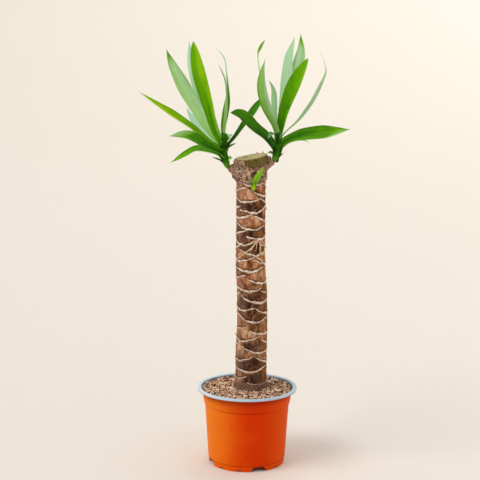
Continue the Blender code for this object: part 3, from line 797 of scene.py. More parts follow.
@dataclass
class NurseryPot:
    """An injection moulded nursery pot with a rolled lip, a collar and a notched foot.

    A notch is given by half its opening and half its top, in degrees, and its height.
    """

    height: float = 132.0
    lip_radius: float = 85.0
    lip_depth: float = 4.6
    collar_top_radius: float = 76.9
    collar_foot_radius: float = 73.2
    step_height: float = 104.0
    body_top_radius: float = 71.6
    body_foot_radius: float = 65.8
    groove_height: float = 9.4
    foot_radius: float = 64.4
    wall: float = 1.3
    foot_wall: float = 2.0
    floor: float = 10.2
    notches: int = 12
    wide_every: int = 3
    notch_turn: float = 19.0
    wide_notch: tuple[float, float, float] = (14.3, 7.2, 7.6)
    small_notch: tuple[float, float, float] = (4.4, 2.4, 2.7)
    drain_holes: int = 8
    drain_radius: float = 4.0
    drain_circle: float = 46.0
    columns: int = 360

    def outside(self) -> list[Pair]:
        """The section from under the floor up to the lip's lower edge.

        Returns:
            Its (radius, height) corners.
        """
        under_lip, under_floor = self.height - self.lip_depth, self.floor - self.wall
        foot_inside = self.foot_radius - self.foot_wall
        groove, step = self.groove_height, self.step_height
        return [
            (30, under_floor), (foot_inside, under_floor), (foot_inside, 0), (self.foot_radius, 0),
            (self.foot_radius + 0.5, groove - 0.6), (self.body_foot_radius - 0.5, groove + 0.5),
            (self.body_foot_radius, groove + 2.4), (self.body_top_radius, step - 2.2),
            (self.body_top_radius - 0.4, step - 0.5), (self.collar_foot_radius, step + 0.1),
            (self.collar_top_radius, under_lip), (self.lip_radius - 0.4, under_lip),
        ]

    def inside(self) -> list[Pair]:
        """The section from the lip's outer edge down to the floor inside.

        Returns:
            Its (radius, height) corners.
        """
        under_lip = self.height - self.lip_depth
        return [
            (self.lip_radius, under_lip + 0.9), (self.lip_radius, self.height - 0.4),
            (self.lip_radius - 5.0, self.height), (self.collar_top_radius + 0.6, self.height - 1.6),
            (self.collar_top_radius - self.wall, under_lip - 1.0),
            (self.collar_foot_radius - self.wall, self.step_height + 1.2),
            (self.body_top_radius - self.wall, self.step_height - 2),
            (self.body_foot_radius - self.wall, self.floor), (30, self.floor),
        ]

    @staticmethod
    def rounded(corners: Sequence[Pair], cut: float, steps: int) -> Array:
        """A section with its corners rounded off.

        Args:
            corners: The (radius, height) corners.
            cut: How far from a corner its rounding starts.
            steps: How many edges make up a rounding.

        Returns:
            The points of the section.
        """
        shape = np.asarray(corners, float)
        points = [shape[0]]
        share = (np.arange(steps + 1) / steps)[:, None]
        for before, here, after in zip(shape, shape[1:], shape[2:]):
            back, ahead = before - here, after - here
            start = here + back * min(cut / np.linalg.norm(back), 0.45)
            end = here + ahead * min(cut / np.linalg.norm(ahead), 0.45)
            points.extend(start * (1 - share) ** 2 + here * 2 * share * (1 - share) + end * share ** 2)
        points.append(shape[-1])
        return np.array(points)

    def notch_height(self, turns: Array) -> Array:
        """How high the foot's lower edge is raised by its notches.

        Args:
            turns: The turns in degrees from +X.

        Returns:
            The height at each.
        """
        height = np.zeros_like(turns)
        for index in range(self.notches):
            half_open, half_top, top = self.small_notch if index % self.wide_every else self.wide_notch
            middle = FRONT + self.notch_turn + index * 360 / self.notches
            away = np.abs(turned_from(turns, middle))
            height = np.maximum(height, top * smooth((half_open - away) / (half_open - half_top)))
        return height

    def shell(self, plastics: Sequence[Material]) -> Piece:
        """The pot's wall, lip, foot and floor.

        Args:
            plastics: The outer plastic and the inner layer's.

        Returns:
            The pot.
        """
        outer = self.rounded(self.outside(), 0.8, 4)
        inner = self.rounded(self.inside(), 1.5, 5)
        section = np.vstack([outer, inner])
        turns = np.arange(self.columns) * 360 / self.columns
        radii, heights = section[:, :1], section[:, 1:]
        notch, top = self.notch_height(turns)[None], self.groove_height - 1.0
        raised = np.where(heights < top, notch + heights * (1 - notch / top), heights)
        angle = np.radians(turns)[None]
        points = np.stack([radii * np.cos(angle), radii * np.sin(angle), raised], -1).reshape(-1, 3)
        points = np.vstack([points, [(0, 0, section[0, 1]), (0, 0, section[-1, 1])]])
        pot = new_piece("nursery_pot", points, capped_faces(len(section), self.columns), plastics, crease=40)
        layer = np.zeros(len(pot.data.polygons), np.int32)
        layer[len(outer) * self.columns:] = 1
        underside = len(pot.data.polygons) - 2 * self.columns
        layer[underside::2] = 0
        pot.data.polygons.foreach_set("material_index", layer)
        self.drill(pot)
        return pot

    def drill(self, pot: Piece) -> None:
        """Cuts the drain holes through the floor.

        Args:
            pot: The pot.
        """
        drills = Heap()
        for index in range(self.drain_holes):
            angle = math.tau * (index + 0.5) / self.drain_holes
            x, y = self.drain_circle * math.cos(angle), self.drain_circle * math.sin(angle)
            path = np.array([(x, y, self.floor - self.wall - 2), (x, y, self.floor + 2)])
            drills.add(*tube(path, np.full(2, self.drain_radius), 24))
        cutter = drills.piece("drills", pot.data.materials[0])
        cut = pot.modifiers.new("drain_holes", "BOOLEAN")
        cut.operation, cut.object = "DIFFERENCE", cutter
        drilled = bpy.data.meshes.new_from_object(pot.evaluated_get(bpy.context.evaluated_depsgraph_get()))
        pot.modifiers.clear()
        pot.data = drilled
        bpy.data.objects.remove(cutter)

    def build(self) -> None:
        """Makes the pot in orange plastic with its blue-grey inner layer."""
        grooves = (self.groove_height + 0.6, self.step_height - 0.2, self.height - self.lip_depth - 0.2)
        # Both plastics carry painted light on the left and a painted warm reflection on the right; the orange
        # also has painted light on its foot and painted shade in its grooves and under its lip, and the
        # lining has painted shade inside the lip.
        orange = PotPlastic("orange_plastic", (0.68, 0.038, 0.0), worn=(0.76, 0.105, 0.002),
                            painted_light_left=(0.87, 0.215, 0.01), painted_reflection_right=(0.71, 0.078, 0.0), grooves=grooves,
                            foot=(0.78, 0.09, 0.0))
        lining = PotPlastic("blue_grey_plastic", (0.43, 0.57, 0.72), worn=(0.74, 0.83, 0.9),
                            painted_light_left=(0.6, 0.72, 0.84), painted_reflection_right=(0.46, 0.585, 0.715), inner=(0.11, 0.17, 0.21),
                            roughness=0.34)
        settle(self.shell([orange.material(), lining.material()]), "pot")


@dataclass
class PottingMix:
    """Peat and coir up to just under the lip, strewn with crumbs, chips and fibres.

    Its lumps are layers of noise, each with a height, a size and a seed.
    """

    pot: NurseryPot
    cane_x: float = 6.5
    cane_radius: float = 26.2
    cane_foot: float = 59.7
    edge_height: float = 129.0
    mound: float = 0.8
    mound_reach: float = 45.0
    lumps: tuple[Place, ...] = ((1.2, 9.0, 0.0), (0.8, 3.4, 2.0), (0.4, 1.5, 5.0))
    bottom: float = 10.5
    seed: int = 21
    columns: int = 220
    rings: int = 62
    crumbs: int = 4600
    chips: int = 1500
    fibres: int = 170

    def level(self, x: Array, y: Array) -> Array:
        """The soil's height: a little mounded about the cane, with lumps.

        Args:
            x: The places' x.
            y: Their y.

        Returns:
            The height at each place.
        """
        flat = np.stack([x, y, np.full_like(x, 36.0)], -1).reshape(-1, 3)
        from_cane = np.hypot(x - self.cane_x, y)
        mound = self.mound * np.clip(1 - (from_cane - self.cane_radius) / self.mound_reach, 0, 1)
        lumps = sum(height * soft_noise(flat, size, seed) for height, size, seed in self.lumps)
        return self.edge_height + mound + lumps.reshape(x.shape)

    def wall_radius(self, height: float) -> float:
        """The pot's inner radius in its collar.

        Args:
            height: The height there.

        Returns:
            The radius.
        """
        pot = self.pot
        share = (height - pot.step_height) / (pot.height - pot.lip_depth - pot.step_height)
        return pot.collar_foot_radius + (pot.collar_top_radius - pot.collar_foot_radius) * share - pot.wall

    def bed(self) -> Piece:
        """The soil's body and its uneven surface.

        Returns:
            The bed.
        """
        pot, turns = self.pot, np.arange(self.columns) * math.tau / self.columns
        rows = [
            (pot.body_foot_radius - pot.wall - 3, self.bottom), (pot.body_foot_radius - 2, 13.0),
            (pot.body_top_radius - 2, pot.step_height - 2.5),
            (pot.collar_foot_radius - 2, pot.step_height + 1),
        ]
        rings = [level_ring(0, radius, height, turns) for radius, height in rows]
        edge = self.wall_radius(self.edge_height) - 0.1
        for step in range(self.rings):
            share = step / (self.rings - 1)
            radius = edge + (self.cane_radius - 0.6 - edge) * share
            x, y = self.cane_x * share + radius * np.cos(turns), radius * np.sin(turns)
            rings.append(np.stack([x, y, self.level(x, y)], -1))
        rings.append(level_ring(self.cane_x, self.cane_radius + 0.3, self.cane_foot, turns))
        points = np.vstack([*rings, [(0, 0, self.bottom), (self.cane_x, 0, self.cane_foot)]])
        tone = 0.08 + 0.26 * soft_noise(points, 2.2, 8.0)
        return new_piece("potting_mix", points, capped_faces(len(rings), self.columns),
                         [PottingSoil("potting_soil").material()], {"tone": tone}, SMOOTH_ALL)

    def spots(self, draw: np.random.Generator, count: int, margin: float) -> tuple[Array, Array]:
        """Random places on the surface, clear of the wall and the cane.

        Args:
            draw: The random draw.
            count: How many places.
            margin: The least distance from the wall and the cane.

        Returns:
            The places' x and y.
        """
        x, y = np.empty(0), np.empty(0)
        reach = self.wall_radius(self.edge_height) - margin
        while len(x) < count:
            more = draw.uniform(-reach, reach, (2, count))
            from_cane = np.hypot(more[0] - self.cane_x, more[1])
            inside = (np.hypot(*more) < reach) & (from_cane > self.cane_radius + margin)
            x, y = np.append(x, more[0][inside]), np.append(y, more[1][inside])
        return x[:count], y[:count]

    @staticmethod
    def turned(draw: np.random.Generator, count: int, tip: float) -> Array:
        """Rotation matrices with any heading and a limited tip.

        Args:
            draw: The random draw.
            count: How many.
            tip: The most that one leans, in radians.

        Returns:
            The matrices.
        """
        angles = np.stack([draw.uniform(-tip, tip, count), draw.uniform(-tip, tip, count),
                           draw.uniform(0, math.tau, count)], 1)
        return np.array([np.array(Euler(a).to_matrix()) for a in angles.tolist()])

    def strewn(self, name: str, shape: Array, faces: Faces, sizes: Array, tones: Array,
               draw: np.random.Generator, tip: float, sunk: float) -> Piece:
        """Strews copies of a small shape over the surface, all in one mesh.

        Args:
            name: The piece's name.
            shape: The shape's points, about 2 across.
            faces: Its faces.
            sizes: The half size of each copy along its three axes.
            tones: The tone of each copy.
            draw: The random draw.
            tip: The most that a copy leans, in radians.
            sunk: The share of its height that a copy is sunk.

        Returns:
            The piece.
        """
        count = len(sizes)
        x, y = self.spots(draw, count, float(sizes.max()) * 0.55)
        jitter = draw.uniform(0.72, 1.2, (count, len(shape), 1))
        local = shape[None] * jitter * sizes[:, None]
        placed = np.einsum("nij,nkj->nki", self.turned(draw, count, tip), local)
        heights = self.level(x, y) + sizes[:, 2] * (1 - 2 * sunk)
        points = placed + np.stack([x, y, heights], 1)[:, None]
        corners = [[c + n * len(shape) for c in face] for n in range(count) for face in faces]
        return new_piece(name, points.reshape(-1, 3), corners, [PottingSoil(f"{name}_soil", 0.05).material()],
                         {"tone": np.repeat(tones, len(shape))}, crease=52)

    def build(self) -> None:
        """Makes the bed and strews it."""
        settle(self.bed(), "soil")
        draw = np.random.default_rng(self.seed)
        golden = (1 + 5 ** 0.5) / 2
        signs = [(s, t * golden) for s in (-1, 1) for t in (-1, 1)]
        ball = unit(np.array([(0, s, t) for s, t in signs] + [(s, t, 0) for s, t in signs]
                             + [(t, 0, s) for s, t in signs], float))
        size = (0.42 + 1.5 * draw.power(0.36, self.crumbs))[:, None]
        size = size * draw.uniform(0.6, 1.25, (self.crumbs, 3))
        kind = draw.random(self.crumbs)
        tones = np.where(kind < 0.4, 0.35 * kind, np.where(kind < 0.87, 0.75 * kind, 0.2 + 0.8 * kind))
        settle(self.strewn("soil_crumbs", ball, self.hull_faces(ball), size, tones, draw, 3.0, 0.32))
        box = np.array([(x, y, z) for x in (-1, 1) for y in (-1, 1) for z in (-1, 1)], float)
        box_faces = [[0, 1, 3, 2], [4, 6, 7, 5], [0, 4, 5, 1], [2, 3, 7, 6], [0, 2, 6, 4], [1, 5, 7, 3]]
        size = np.stack([draw.uniform(0.7, 2.9, self.chips), draw.uniform(0.3, 0.8, self.chips),
                         draw.uniform(0.15, 0.38, self.chips)], 1)
        tones = np.clip(draw.beta(1.3, 1.5, self.chips) * 1.15, 0, 1.1)
        settle(self.strewn("soil_chips", box, box_faces, size, tones, draw, 0.5, 0.1))
        size = np.stack([draw.uniform(3.0, 6.5, self.fibres), np.full(self.fibres, 0.22),
                         np.full(self.fibres, 0.2)], 1)
        tones = draw.uniform(0.45, 1.0, self.fibres)
        settle(self.strewn("soil_fibres", box, box_faces, size, tones, draw, 0.22, -0.6))

    @staticmethod
    def hull_faces(points: Array) -> Faces:
        """The triangles between a regular ball's nearest corners, facing out.

        Args:
            points: The corners.

        Returns:
            The corners of each triangle.
        """
        gaps = np.linalg.norm(points[:, None] - points[None], axis=-1)
        near = gaps < gaps[gaps > 1e-6].min() * 1.1
        faces = []
        for a in range(len(points)):
            for b in range(a + 1, len(points)):
                for c in range(b + 1, len(points)):
                    if near[a, b] and near[b, c] and near[a, c]:
                        out = np.cross(points[b] - points[a], points[c] - points[a]).dot(points[a])
                        faces.append([a, b, c] if out > 0 else [a, c, b])
        return faces


@dataclass(frozen=True)
class Bud:
    """A woody knob on the cane, from start to end, with the radius at each."""

    start: Place
    end: Place
    radii: Pair


@dataclass
class SealedTop:
    """Where the slanting saw cut and the wax seal's lower edge lie.

    Attributes:
        cut: The wax's height on the seal's axis, from where it rises by rise_x and rise_y to a side.
        hem: The height of its lower edge, which is hem_left and hem_right over the two shoots.
    """

    axis_x: float = 4.4
    cut: float = 526.5
    rise_x: float = 0.18
    rise_y: float = 0.042
    radius: float = 27.0
    hem: float = 511.0
    hem_left: float = 515.6
    hem_right: float = 521.0

    def hem_height(self, turns: Array) -> Array:
        """The wax seal's lower edge, which runs higher over the two shoots.

        Args:
            turns: The turns.

        Returns:
            The height at each.
        """
        from_left, from_right = np.abs(turned_from(turns, -90)), np.abs(turned_from(turns, 90))
        left = (self.hem_left - self.hem) * (1 - smooth((from_left - 48) / 22))
        right = (self.hem_right - self.hem) * np.exp(-((from_right / 30) ** 2))
        return self.hem + left + right

    def cut_height(self, x: Array, y: Array) -> Array:
        """The top of the wax on the slanting cut."""
        return self.cut + self.rise_x * (x - self.axis_x) + self.rise_y * y

    def ring(self, turns: Array, radius: Array | float, heights: Array | float) -> Array:
        """Points about the seal's axis.

        Args:
            turns: Their turns.
            radius: Their distance from the axis.
            heights: Their heights.

        Returns:
            The points.
        """
        angle = np.radians(turns + FRONT)
        x, y = self.axis_x + radius * np.cos(angle), radius * np.sin(angle)
        return np.stack([x, y, np.broadcast_to(heights, x.shape)], -1)

    def cut_ring(self, turns: Array, radius: float, below: float) -> Array:
        """A ring that runs along the slanting cut.

        Args:
            turns: The turns of its points.
            radius: Its radius.
            below: Its distance below the wax's top.

        Returns:
            Its points.
        """
        ring = self.ring(turns, radius, 0.0)
        ring[:, 2] = self.cut_height(ring[:, 0], ring[:, 1]) - below
        return ring


@dataclass
class Cane:
    """The yucca's stem with its spiral of leaf scars, its crusted head, its buds and its aerial roots.

    Attributes:
        profile: The height, the axis's x and the radius at each knot up the bark.
        scar_height: The height of the spiral's middle scar.
        steps: How much lower the next scar is, below and above the middle one.
        counts: The number of scars above and below it.
        scar_rise: How much a scar's sides rise at a quarter turn; it runs scar_reach degrees to either side.
        lip: How far a scar's lip stands out, and its half width, as cord gives them for the thinner lip.
        groove: The depth and half width of the groove above a lip, and its height over it.
        slope: How far the swelling above a lip stands out, and how far up it fades.
        crusted: The heights where the head's crust starts and is full.
        earthy: The heights where the soil on its foot is full and ends.
        buds: The buds of the left shoot, the right shoot and the sprout, then the lesser knobs.
        strands: Each aerial root's turns and heights in pairs, from end to end.
        root_nubs: The turn and height of each short root at the cane's sides.
    """

    top: SealedTop
    foot_x: float = 6.5
    foot_height: float = 60.0
    bare_height: float = 118.0
    root_radius: float = 26.2
    profile: tuple[Place, ...] = (
        (118, 6.5, 26.2), (130.5, 6.5, 26.2), (190, 6.6, 26.2), (240, 8.0, 25.3), (290, 7.4, 25.0),
        (345, 4.4, 24.5), (400, 4.3, 24.0), (482, 4.1, 24.2), (490, 2.2, 27.4), (502, 2.0, 27.8),
        (515, 3.4, 26.8),
    )
    columns: int = 232
    rows: int = 400
    scar_height: float = 335.0
    scar_turn: float = -3.0
    divergence: float = 360.0 * 5 / 13
    steps: Pair = (6.65, 5.55)
    counts: tuple[int, int] = (30, 33)
    scar_rise: float = 13.5
    scar_reach: float = 74.0
    lip: Pair = (1.5, 1.1)
    cord: Pair = (0.55, 0.75)
    groove: tuple[float, float, float] = (0.65, 1.3, 2.3)
    slope: Pair = (0.45, 9.0)
    crusted: Pair = (478.0, 502.0)
    earthy: Pair = (129.0, 159.0)
    buds: tuple[Bud, ...] = (
        Bud((-10, 0, 494), (-33.4, 0, 510.2), (11.5, 6.0)), Bud((18, 0, 503), (43.5, 0, 519.6), (7.4, 4.0)),
        Bud((6.6, -20, 470), (7.5, -30, 475), (4.4, 3.2)), Bud((27, 3, 512), (35.5, 2, 526.5), (5.4, 4.2)),
        Bud((-22, -6, 492), (-24.5, -8, 501), (5.0, 3.6)),
        Bud((-16, -17, 489), (-18.5, -19.5, 497), (5.0, 3.4)),
        Bud((23, -8, 485), (29, -9, 489.5), (3.0, 1.2)),
        Bud((15, 21, 522), (14, 22, 531), (1.6, 0.8)), Bud((22.5, 17, 522), (24, 18, 533), (1.7, 0.7)),
    )
    strands: tuple[tuple[float, ...], ...] = (
        (24, 387, 6, 377, -20, 367, -48, 358, -74, 353), (26, 387, 10, 379, -8, 372, -24, 365, -44, 360),
        (21, 388, 13, 381, 3, 373, -5, 364), (28, 387, 22, 379, 21, 369),
        (30, 389, 37, 381, 36, 371, 43, 363, 56, 366, 60, 375, 52, 384, 38, 388),
        (26, 358, 34, 357, 46, 352, 64, 345, 80, 344), (-60, 361, -38, 366, -20, 362),
        (33, 388, 52, 392, 70, 391), (18, 388, 2, 385, -14, 380),
    )
    strand_radii: tuple[float, ...] = (1.0, 0.85, 0.75, 0.75, 0.95, 1.15, 0.65, 0.85, 0.65)
    root_nubs: tuple[Pair, ...] = ((-86, 226), (84, 441))
    scar_seed: int = 11
    relief_seed: int = 4
    flake_seed: int = 8

    def axis(self, heights: Array) -> tuple[Array, Array]:
        """The cane's middle and its radius under the relief.

        Args:
            heights: The heights to give them at.

        Returns:
            The middle's x and the radius at each height.
        """
        knots = np.array(self.profile, float)
        index = np.clip(np.searchsorted(knots[:, 0], heights) - 1, 0, len(knots) - 2)
        low, high = knots[index], knots[index + 1]
        share = smooth((heights - low[..., 0]) / (high[..., 0] - low[..., 0]))
        axis_x, radius = (low[..., k] + (high[..., k] - low[..., k]) * share for k in (1, 2))
        return axis_x, radius

    def on_bark(self, turn: float, height: float, proud: float) -> Place:
        """A point on the bark.

        Args:
            turn: Its turn.
            height: Its height.
            proud: How far it stands out of the smooth stem.

        Returns:
            The point.
        """
        axis_x, radius = self.axis(np.array(height))
        angle = math.radians(turn + FRONT)
        reach = float(radius) + proud
        return (float(axis_x) + reach * math.cos(angle), reach * math.sin(angle), height)

    def scars(self) -> list[Pair]:
        """The spiral of leaf scars.

        Returns:
            Each scar's turn and height, from the head down.
        """
        draw = random.Random(self.scar_seed)
        scars = []
        for index in range(-self.counts[0], self.counts[1] + 1):
            step = self.steps[0] if index > 0 else self.steps[1]
            turn = self.scar_turn + self.divergence * index + draw.uniform(-5, 5)
            scars.append((turn, self.scar_height - step * index + draw.uniform(-1.2, 1.2)))
        return scars

    def relief(self, turns: Array, heights: Array) -> dict[str, Array]:
        """The bark's relief and masks.

        Args:
            turns: Each point's turn.
            heights: Each point's height.

        Returns:
            How far each point stands out, as proud, and the bark's near, cord, tone, rise and cavity masks;
            cavity marks grooves and pits for painted shade.
        """
        lip_height, lip_width = self.lip
        cord_height, cord_width = self.cord
        groove_depth, groove_width, groove_rise = self.groove
        slope_height, slope_length = self.slope
        angle = np.radians(turns)
        spots = np.stack([26 * np.cos(angle), 26 * np.sin(angle), heights], -1)
        wander = 1.6 * soft_noise(spots, 8.0, 1.0) + 0.55 * soft_noise(spots, 2.6, 2.0)
        draw = random.Random(self.relief_seed)
        lip, cord, groove, slope = (np.zeros_like(turns) for _ in range(4))
        near, nearest, tone = np.full_like(turns, 9.0), np.full_like(turns, 40.0), np.full_like(turns, 0.5)
        for scar_turn, scar_height in self.scars():
            own_tone, own_lift, split = draw.random(), draw.uniform(0.75, 1.25), draw.uniform(1.9, 3.4)
            upper = float(smooth((scar_height - 250) / 110))
            weight, vee = draw.uniform(0.85, 1.3) * (1 + 0.08 * upper), draw.uniform(0.0, 0.6) * upper
            tilt = draw.uniform(-3.5, 3.5)
            across = turned_from(turns, scar_turn)
            bend = np.radians(across)
            arc = (1 - vee) * (1 - np.cos(bend)) + vee * 0.72 * np.abs(np.sin(bend))
            above = heights + wander - scar_height - self.scar_rise * own_lift * arc - tilt * bend
            fade = np.exp(-((across / self.scar_reach) ** 4)) * (np.abs(above) < 34)
            thick = weight * (1 - 0.42 * smooth(np.abs(across) / 70))
            lip = np.maximum(lip, fade * np.exp(-((above / lip_width / thick) ** 2)))
            near = np.minimum(near, np.abs(above) / thick + 8 * smooth((np.abs(across) - 62) / 24))
            cord = np.maximum(cord, fade * np.exp(-(((above + split) / cord_width) ** 2)))
            groove = np.maximum(groove, fade * np.exp(-(((above - groove_rise) / groove_width) ** 2)))
            slope = np.maximum(slope, np.where(above > 0, fade * np.exp(-above / slope_length), 0))
            own = (above > 0) & (above < nearest) & (fade > 0.35)
            nearest, tone = np.where(own, above, nearest), np.where(own, own_tone, tone)
        whole = smooth(soft_noise(spots, 6.0, 31.0) * 1.7 + 0.95)
        lip, near = lip * (0.6 + 0.4 * whole), near + 0.6 * (1 - whole)
        fibre = soft_noise(spots * (1, 1, 0.2), 1.3, 6.0)
        lumps = soft_noise(spots, 3.2, 9.0)
        ledge = soft_noise(spots * (1, 1, 1.6), 5.5, 19.0)
        groove = groove * (1 - lip)
        proud = (lip_height * lip + cord_height * cord - groove_depth * groove + slope_height * slope
                 + 0.34 * fibre + 0.34 * lumps + 0.35 * ledge)
        # Painted shade: the cavity mask darkens the grooves and pits.
        pits = 0.45 * np.clip(-fibre - 0.1, 0, 1) + 0.4 * np.clip(-lumps - 0.1, 0, 1)
        cavity = np.clip(0.8 * groove + pits, 0, 1)
        return {"proud": proud, "near": near, "cord": cord, "tone": tone, "rise": nearest, "cavity": cavity}

    def bark(self, material: Material) -> Piece:
        """The bark from below the soil to the wax, and the wood under the wax.

        Args:
            material: The bark's material.

        Returns:
            The bark.
        """
        turn_row = np.arange(self.columns) * 360 / self.columns
        top = self.top.hem_height(turn_row) - 1.0
        share = (np.arange(self.rows + 1) / self.rows)[:, None]
        heights = self.bare_height + (top[None] - self.bare_height) * share
        turns = np.broadcast_to(turn_row, heights.shape)
        surface = {key: values.reshape(heights.shape)
                   for key, values in self.relief(turns.ravel(), heights.ravel()).items()}
        axis_x, radius = self.axis(heights)
        start, full = self.crusted
        crust = smooth((heights - start) / 10) * (0.6 + 0.4 * smooth((heights - full + 8) / 8))
        full, end = self.earthy
        earth = 1 - smooth((heights - full) / (end - full))
        angle = np.radians(turns + FRONT)
        spots = np.stack([radius * np.cos(angle), radius * np.sin(angle), heights], -1).reshape(-1, 3)
        rough = 2.1 * soft_noise(spots, 4.8, 12.0) + 1.3 * soft_noise(spots, 2.1, 14.0)
        rough = (rough - 1.1 * np.abs(soft_noise(spots, 3.1, 15.0))).reshape(heights.shape)
        shown = smooth(share * 30) * smooth((1 - share) * 40 + 0.15)
        proud = surface.pop("proud") * (1 - 0.3 * crust) + (crust + 0.75 * earth) * rough
        reach = radius + shown * (proud + 0.8 * earth)
        rings = np.stack([axis_x + reach * np.cos(angle), reach * np.sin(angle), heights], -1)
        foot = level_ring(self.foot_x, self.root_radius, self.foot_height, angle[0])
        seat = self.top.radius - 1.6
        wood = [self.top.ring(turn_row, seat, self.top.hem_height(turn_row) - 0.8),
                self.top.cut_ring(turn_row, seat, 2.2), self.top.cut_ring(turn_row, seat - 0.8, 1.6)]
        points = np.vstack([foot, rings.reshape(-1, 3), *wood, [(self.foot_x, 0, self.foot_height),
                                                               (self.top.axis_x, 0, self.top.cut - 1.6)]])
        # Painted shade in the crust's pits, through the cavity mask.
        pits = np.clip(-rough * 0.55 - 0.15, 0, 1) * crust
        surface["cavity"] = np.clip(surface["cavity"] * (1 - 0.4 * crust) + pits, 0, 1)
        surface.update(crust=crust, earth=earth)
        masks = {key: self.padded(values) for key, values in surface.items()}
        faces = capped_faces(self.rows + 5, self.columns)
        return new_piece("cane_bark", points, faces, [material], masks, SMOOTH_ALL)

    @staticmethod
    def padded(values: Array) -> Array:
        """A mask with the foot's ring before it and the wood's rings and the two poles after it."""
        return np.concatenate([values[0], values.ravel(), values[-1], values[-1], values[-1], [0.0, 0.0]])

    def knobs(self, material: Material) -> Piece:
        """The woody buds that the shoots stand on, and the lesser knobs.

        Args:
            material: The bark's material.

        Returns:
            The knobs in one piece.
        """
        steps, sides = 29, 48
        heap = Heap()
        for number, bud in enumerate(self.buds):
            start, end = np.array(bud.start, float), np.array(bud.end, float)
            share = np.linspace(0, 1, steps + 1)
            path = start + (end - start) * share[:, None]
            thick, thin = bud.radii
            radii = thick + (thin - thick) * share + 0.5 * np.sin(share * math.pi)
            radii = radii * (1 - 0.75 * smooth((share - 0.8) / 0.2) ** 2)
            points, faces = tube(path, radii, sides)
            middle = np.vstack([np.repeat(path, sides, axis=0), path[:1], path[-1:]])
            rough = 1.1 * soft_noise(points, 3.4, 20.0 + number)
            rough = (rough + 0.8 * soft_noise(points, 1.5, 30.0 + number)) * min(1.0, thin / 4.0)
            out = unit(points - middle) * rough[:, None]
            out[-2:] = 0
            rings = np.abs(np.sin(np.linalg.norm(middle - start, axis=1) * 0.9 + rough * 2))
            heap.add(points + out, faces, near=0.9 + 3 * rings, cord=0.0, tone=0.35 + 0.3 * rough,
                     rise=8 * rings, cavity=np.clip(-rough, 0, 1), crust=0.7, earth=0.0)
        return heap.piece("woody_buds", material, SMOOTH_ALL)

    def flakes(self, material: Material) -> Piece:
        """Papery scraps of old leaf bases that stand off the head and off some scars.

        Args:
            material: The bark's material.

        Returns:
            The flakes in one piece.
        """
        on_head, on_a_scar, scar_flake_size = 230, 4, 0.6
        draw = random.Random(self.flake_seed)
        heap = Heap()
        seats = [(draw.uniform(-180, 180), draw.uniform(484, 512), 1.0) for _ in range(on_head)]
        for turn, height in self.scars():
            for _ in range(on_a_scar):
                across = draw.uniform(-62, 62)
                rise = self.scar_rise * (1 - math.cos(math.radians(across)))
                if 150 < height + rise < 488 and draw.random() < 0.8:
                    seats.append((turn + across, height + rise, scar_flake_size))
        for turn, height, size in seats:
            if height > float(self.top.hem_height(np.array(turn))) - 3:
                continue
            width, length = draw.uniform(2.0, 7.0) * size, draw.uniform(0.9, 3.0) * size
            lean, way = draw.uniform(0.3, 1.5) * size, draw.choice((-1, 1, 1))
            self.flake(heap, (turn, height), (width, length * way, lean), draw)
        return heap.piece("bark_flakes", material, 70)

    def flake(self, heap: Heap, seat: Pair, size: Place, draw: random.Random) -> None:
        """Adds one flake: a half moon of papery bark with a ragged free edge.

        Args:
            heap: Where it goes.
            seat: Its turn and height on the bark.
            size: Its width, its signed length and how far its free edge stands out.
            draw: The random draw.
        """
        turn, height = seat
        width, length, lean = size
        columns, rows = 9, 4
        ragged = [draw.uniform(0.5, 1.2) for _ in range(columns)]
        slant = draw.uniform(-0.5, 0.5)
        front, back = [], []
        for row in range(rows):
            share = row / (rows - 1)
            for column in range(columns):
                side = 2 * column / (columns - 1) - 1
                moon = max(1 - side * side, 0.02) ** 0.6
                degrees = turn + math.degrees(side * width / 2 / 25)
                lift = height + slant * side * width / 2 + length * share * ragged[column] * moon
                proud = 0.35 + 0.5 * moon + lean * share ** 1.5 * moon
                front.append(self.on_bark(degrees, lift, proud))
                back.append(self.on_bark(degrees, lift, proud - 0.5 + 0.2 * share))
        faces = sheet_faces(rows, columns)
        if length < 0:
            faces = [face[::-1] for face in faces]
        pale = draw.random()
        heap.add(np.array(front + back), faces, near=0.2 + 1.8 * pale, cord=0.0, tone=draw.uniform(0.2, 0.8),
                 rise=3.0, cavity=0.0, crust=0.35, earth=0.0)

    def roots(self, material: Material) -> Piece:
        """Thin aerial roots that cling to the bark, and the root nubs at its sides.

        Args:
            material: The root skin.

        Returns:
            The roots in one piece.
        """
        steps, sides = 40, 8
        heap = Heap()
        for strand, radius in zip(self.strands, self.strand_radii):
            knots = [self.on_bark(turn, height, 2.3) for turn, height in zip(strand[::2], strand[1::2])]
            knots[0], knots[-1] = [self.on_bark(t, h, -0.2) for t, h in (strand[:2], strand[-2:])]
            path = smooth_line(knots, steps)
            wobble = 0.25 * np.stack([soft_noise(path, 4.0, seed) for seed in (1.0, 2.0, 3.0)], 1)
            share = np.linspace(0, 1, len(path))
            heap.add(*tube(path + wobble, radius * (1.1 - 0.6 * share), sides))
        for turn, height in self.root_nubs:
            start = np.array(self.on_bark(turn, height, -1))
            end = np.array(self.on_bark(turn + 5, height - 4, 2.6))
            share = np.linspace(0, 1, 10)
            heap.add(*tube(start + (end - start) * share[:, None], 2.1 * np.sqrt(1 - share ** 3 * 0.98), 14))
        return heap.piece("aerial_roots", material, 60)

    def build(self) -> None:
        """Makes the cane in bark, with its buds, flakes and roots."""
        bark = Bark("scarred_bark").material()
        settle(self.bark(bark), "cane")
        settle(self.knobs(bark))
        settle(self.flakes(bark))
        settle(self.roots(RootSkin("root_skin").material()))


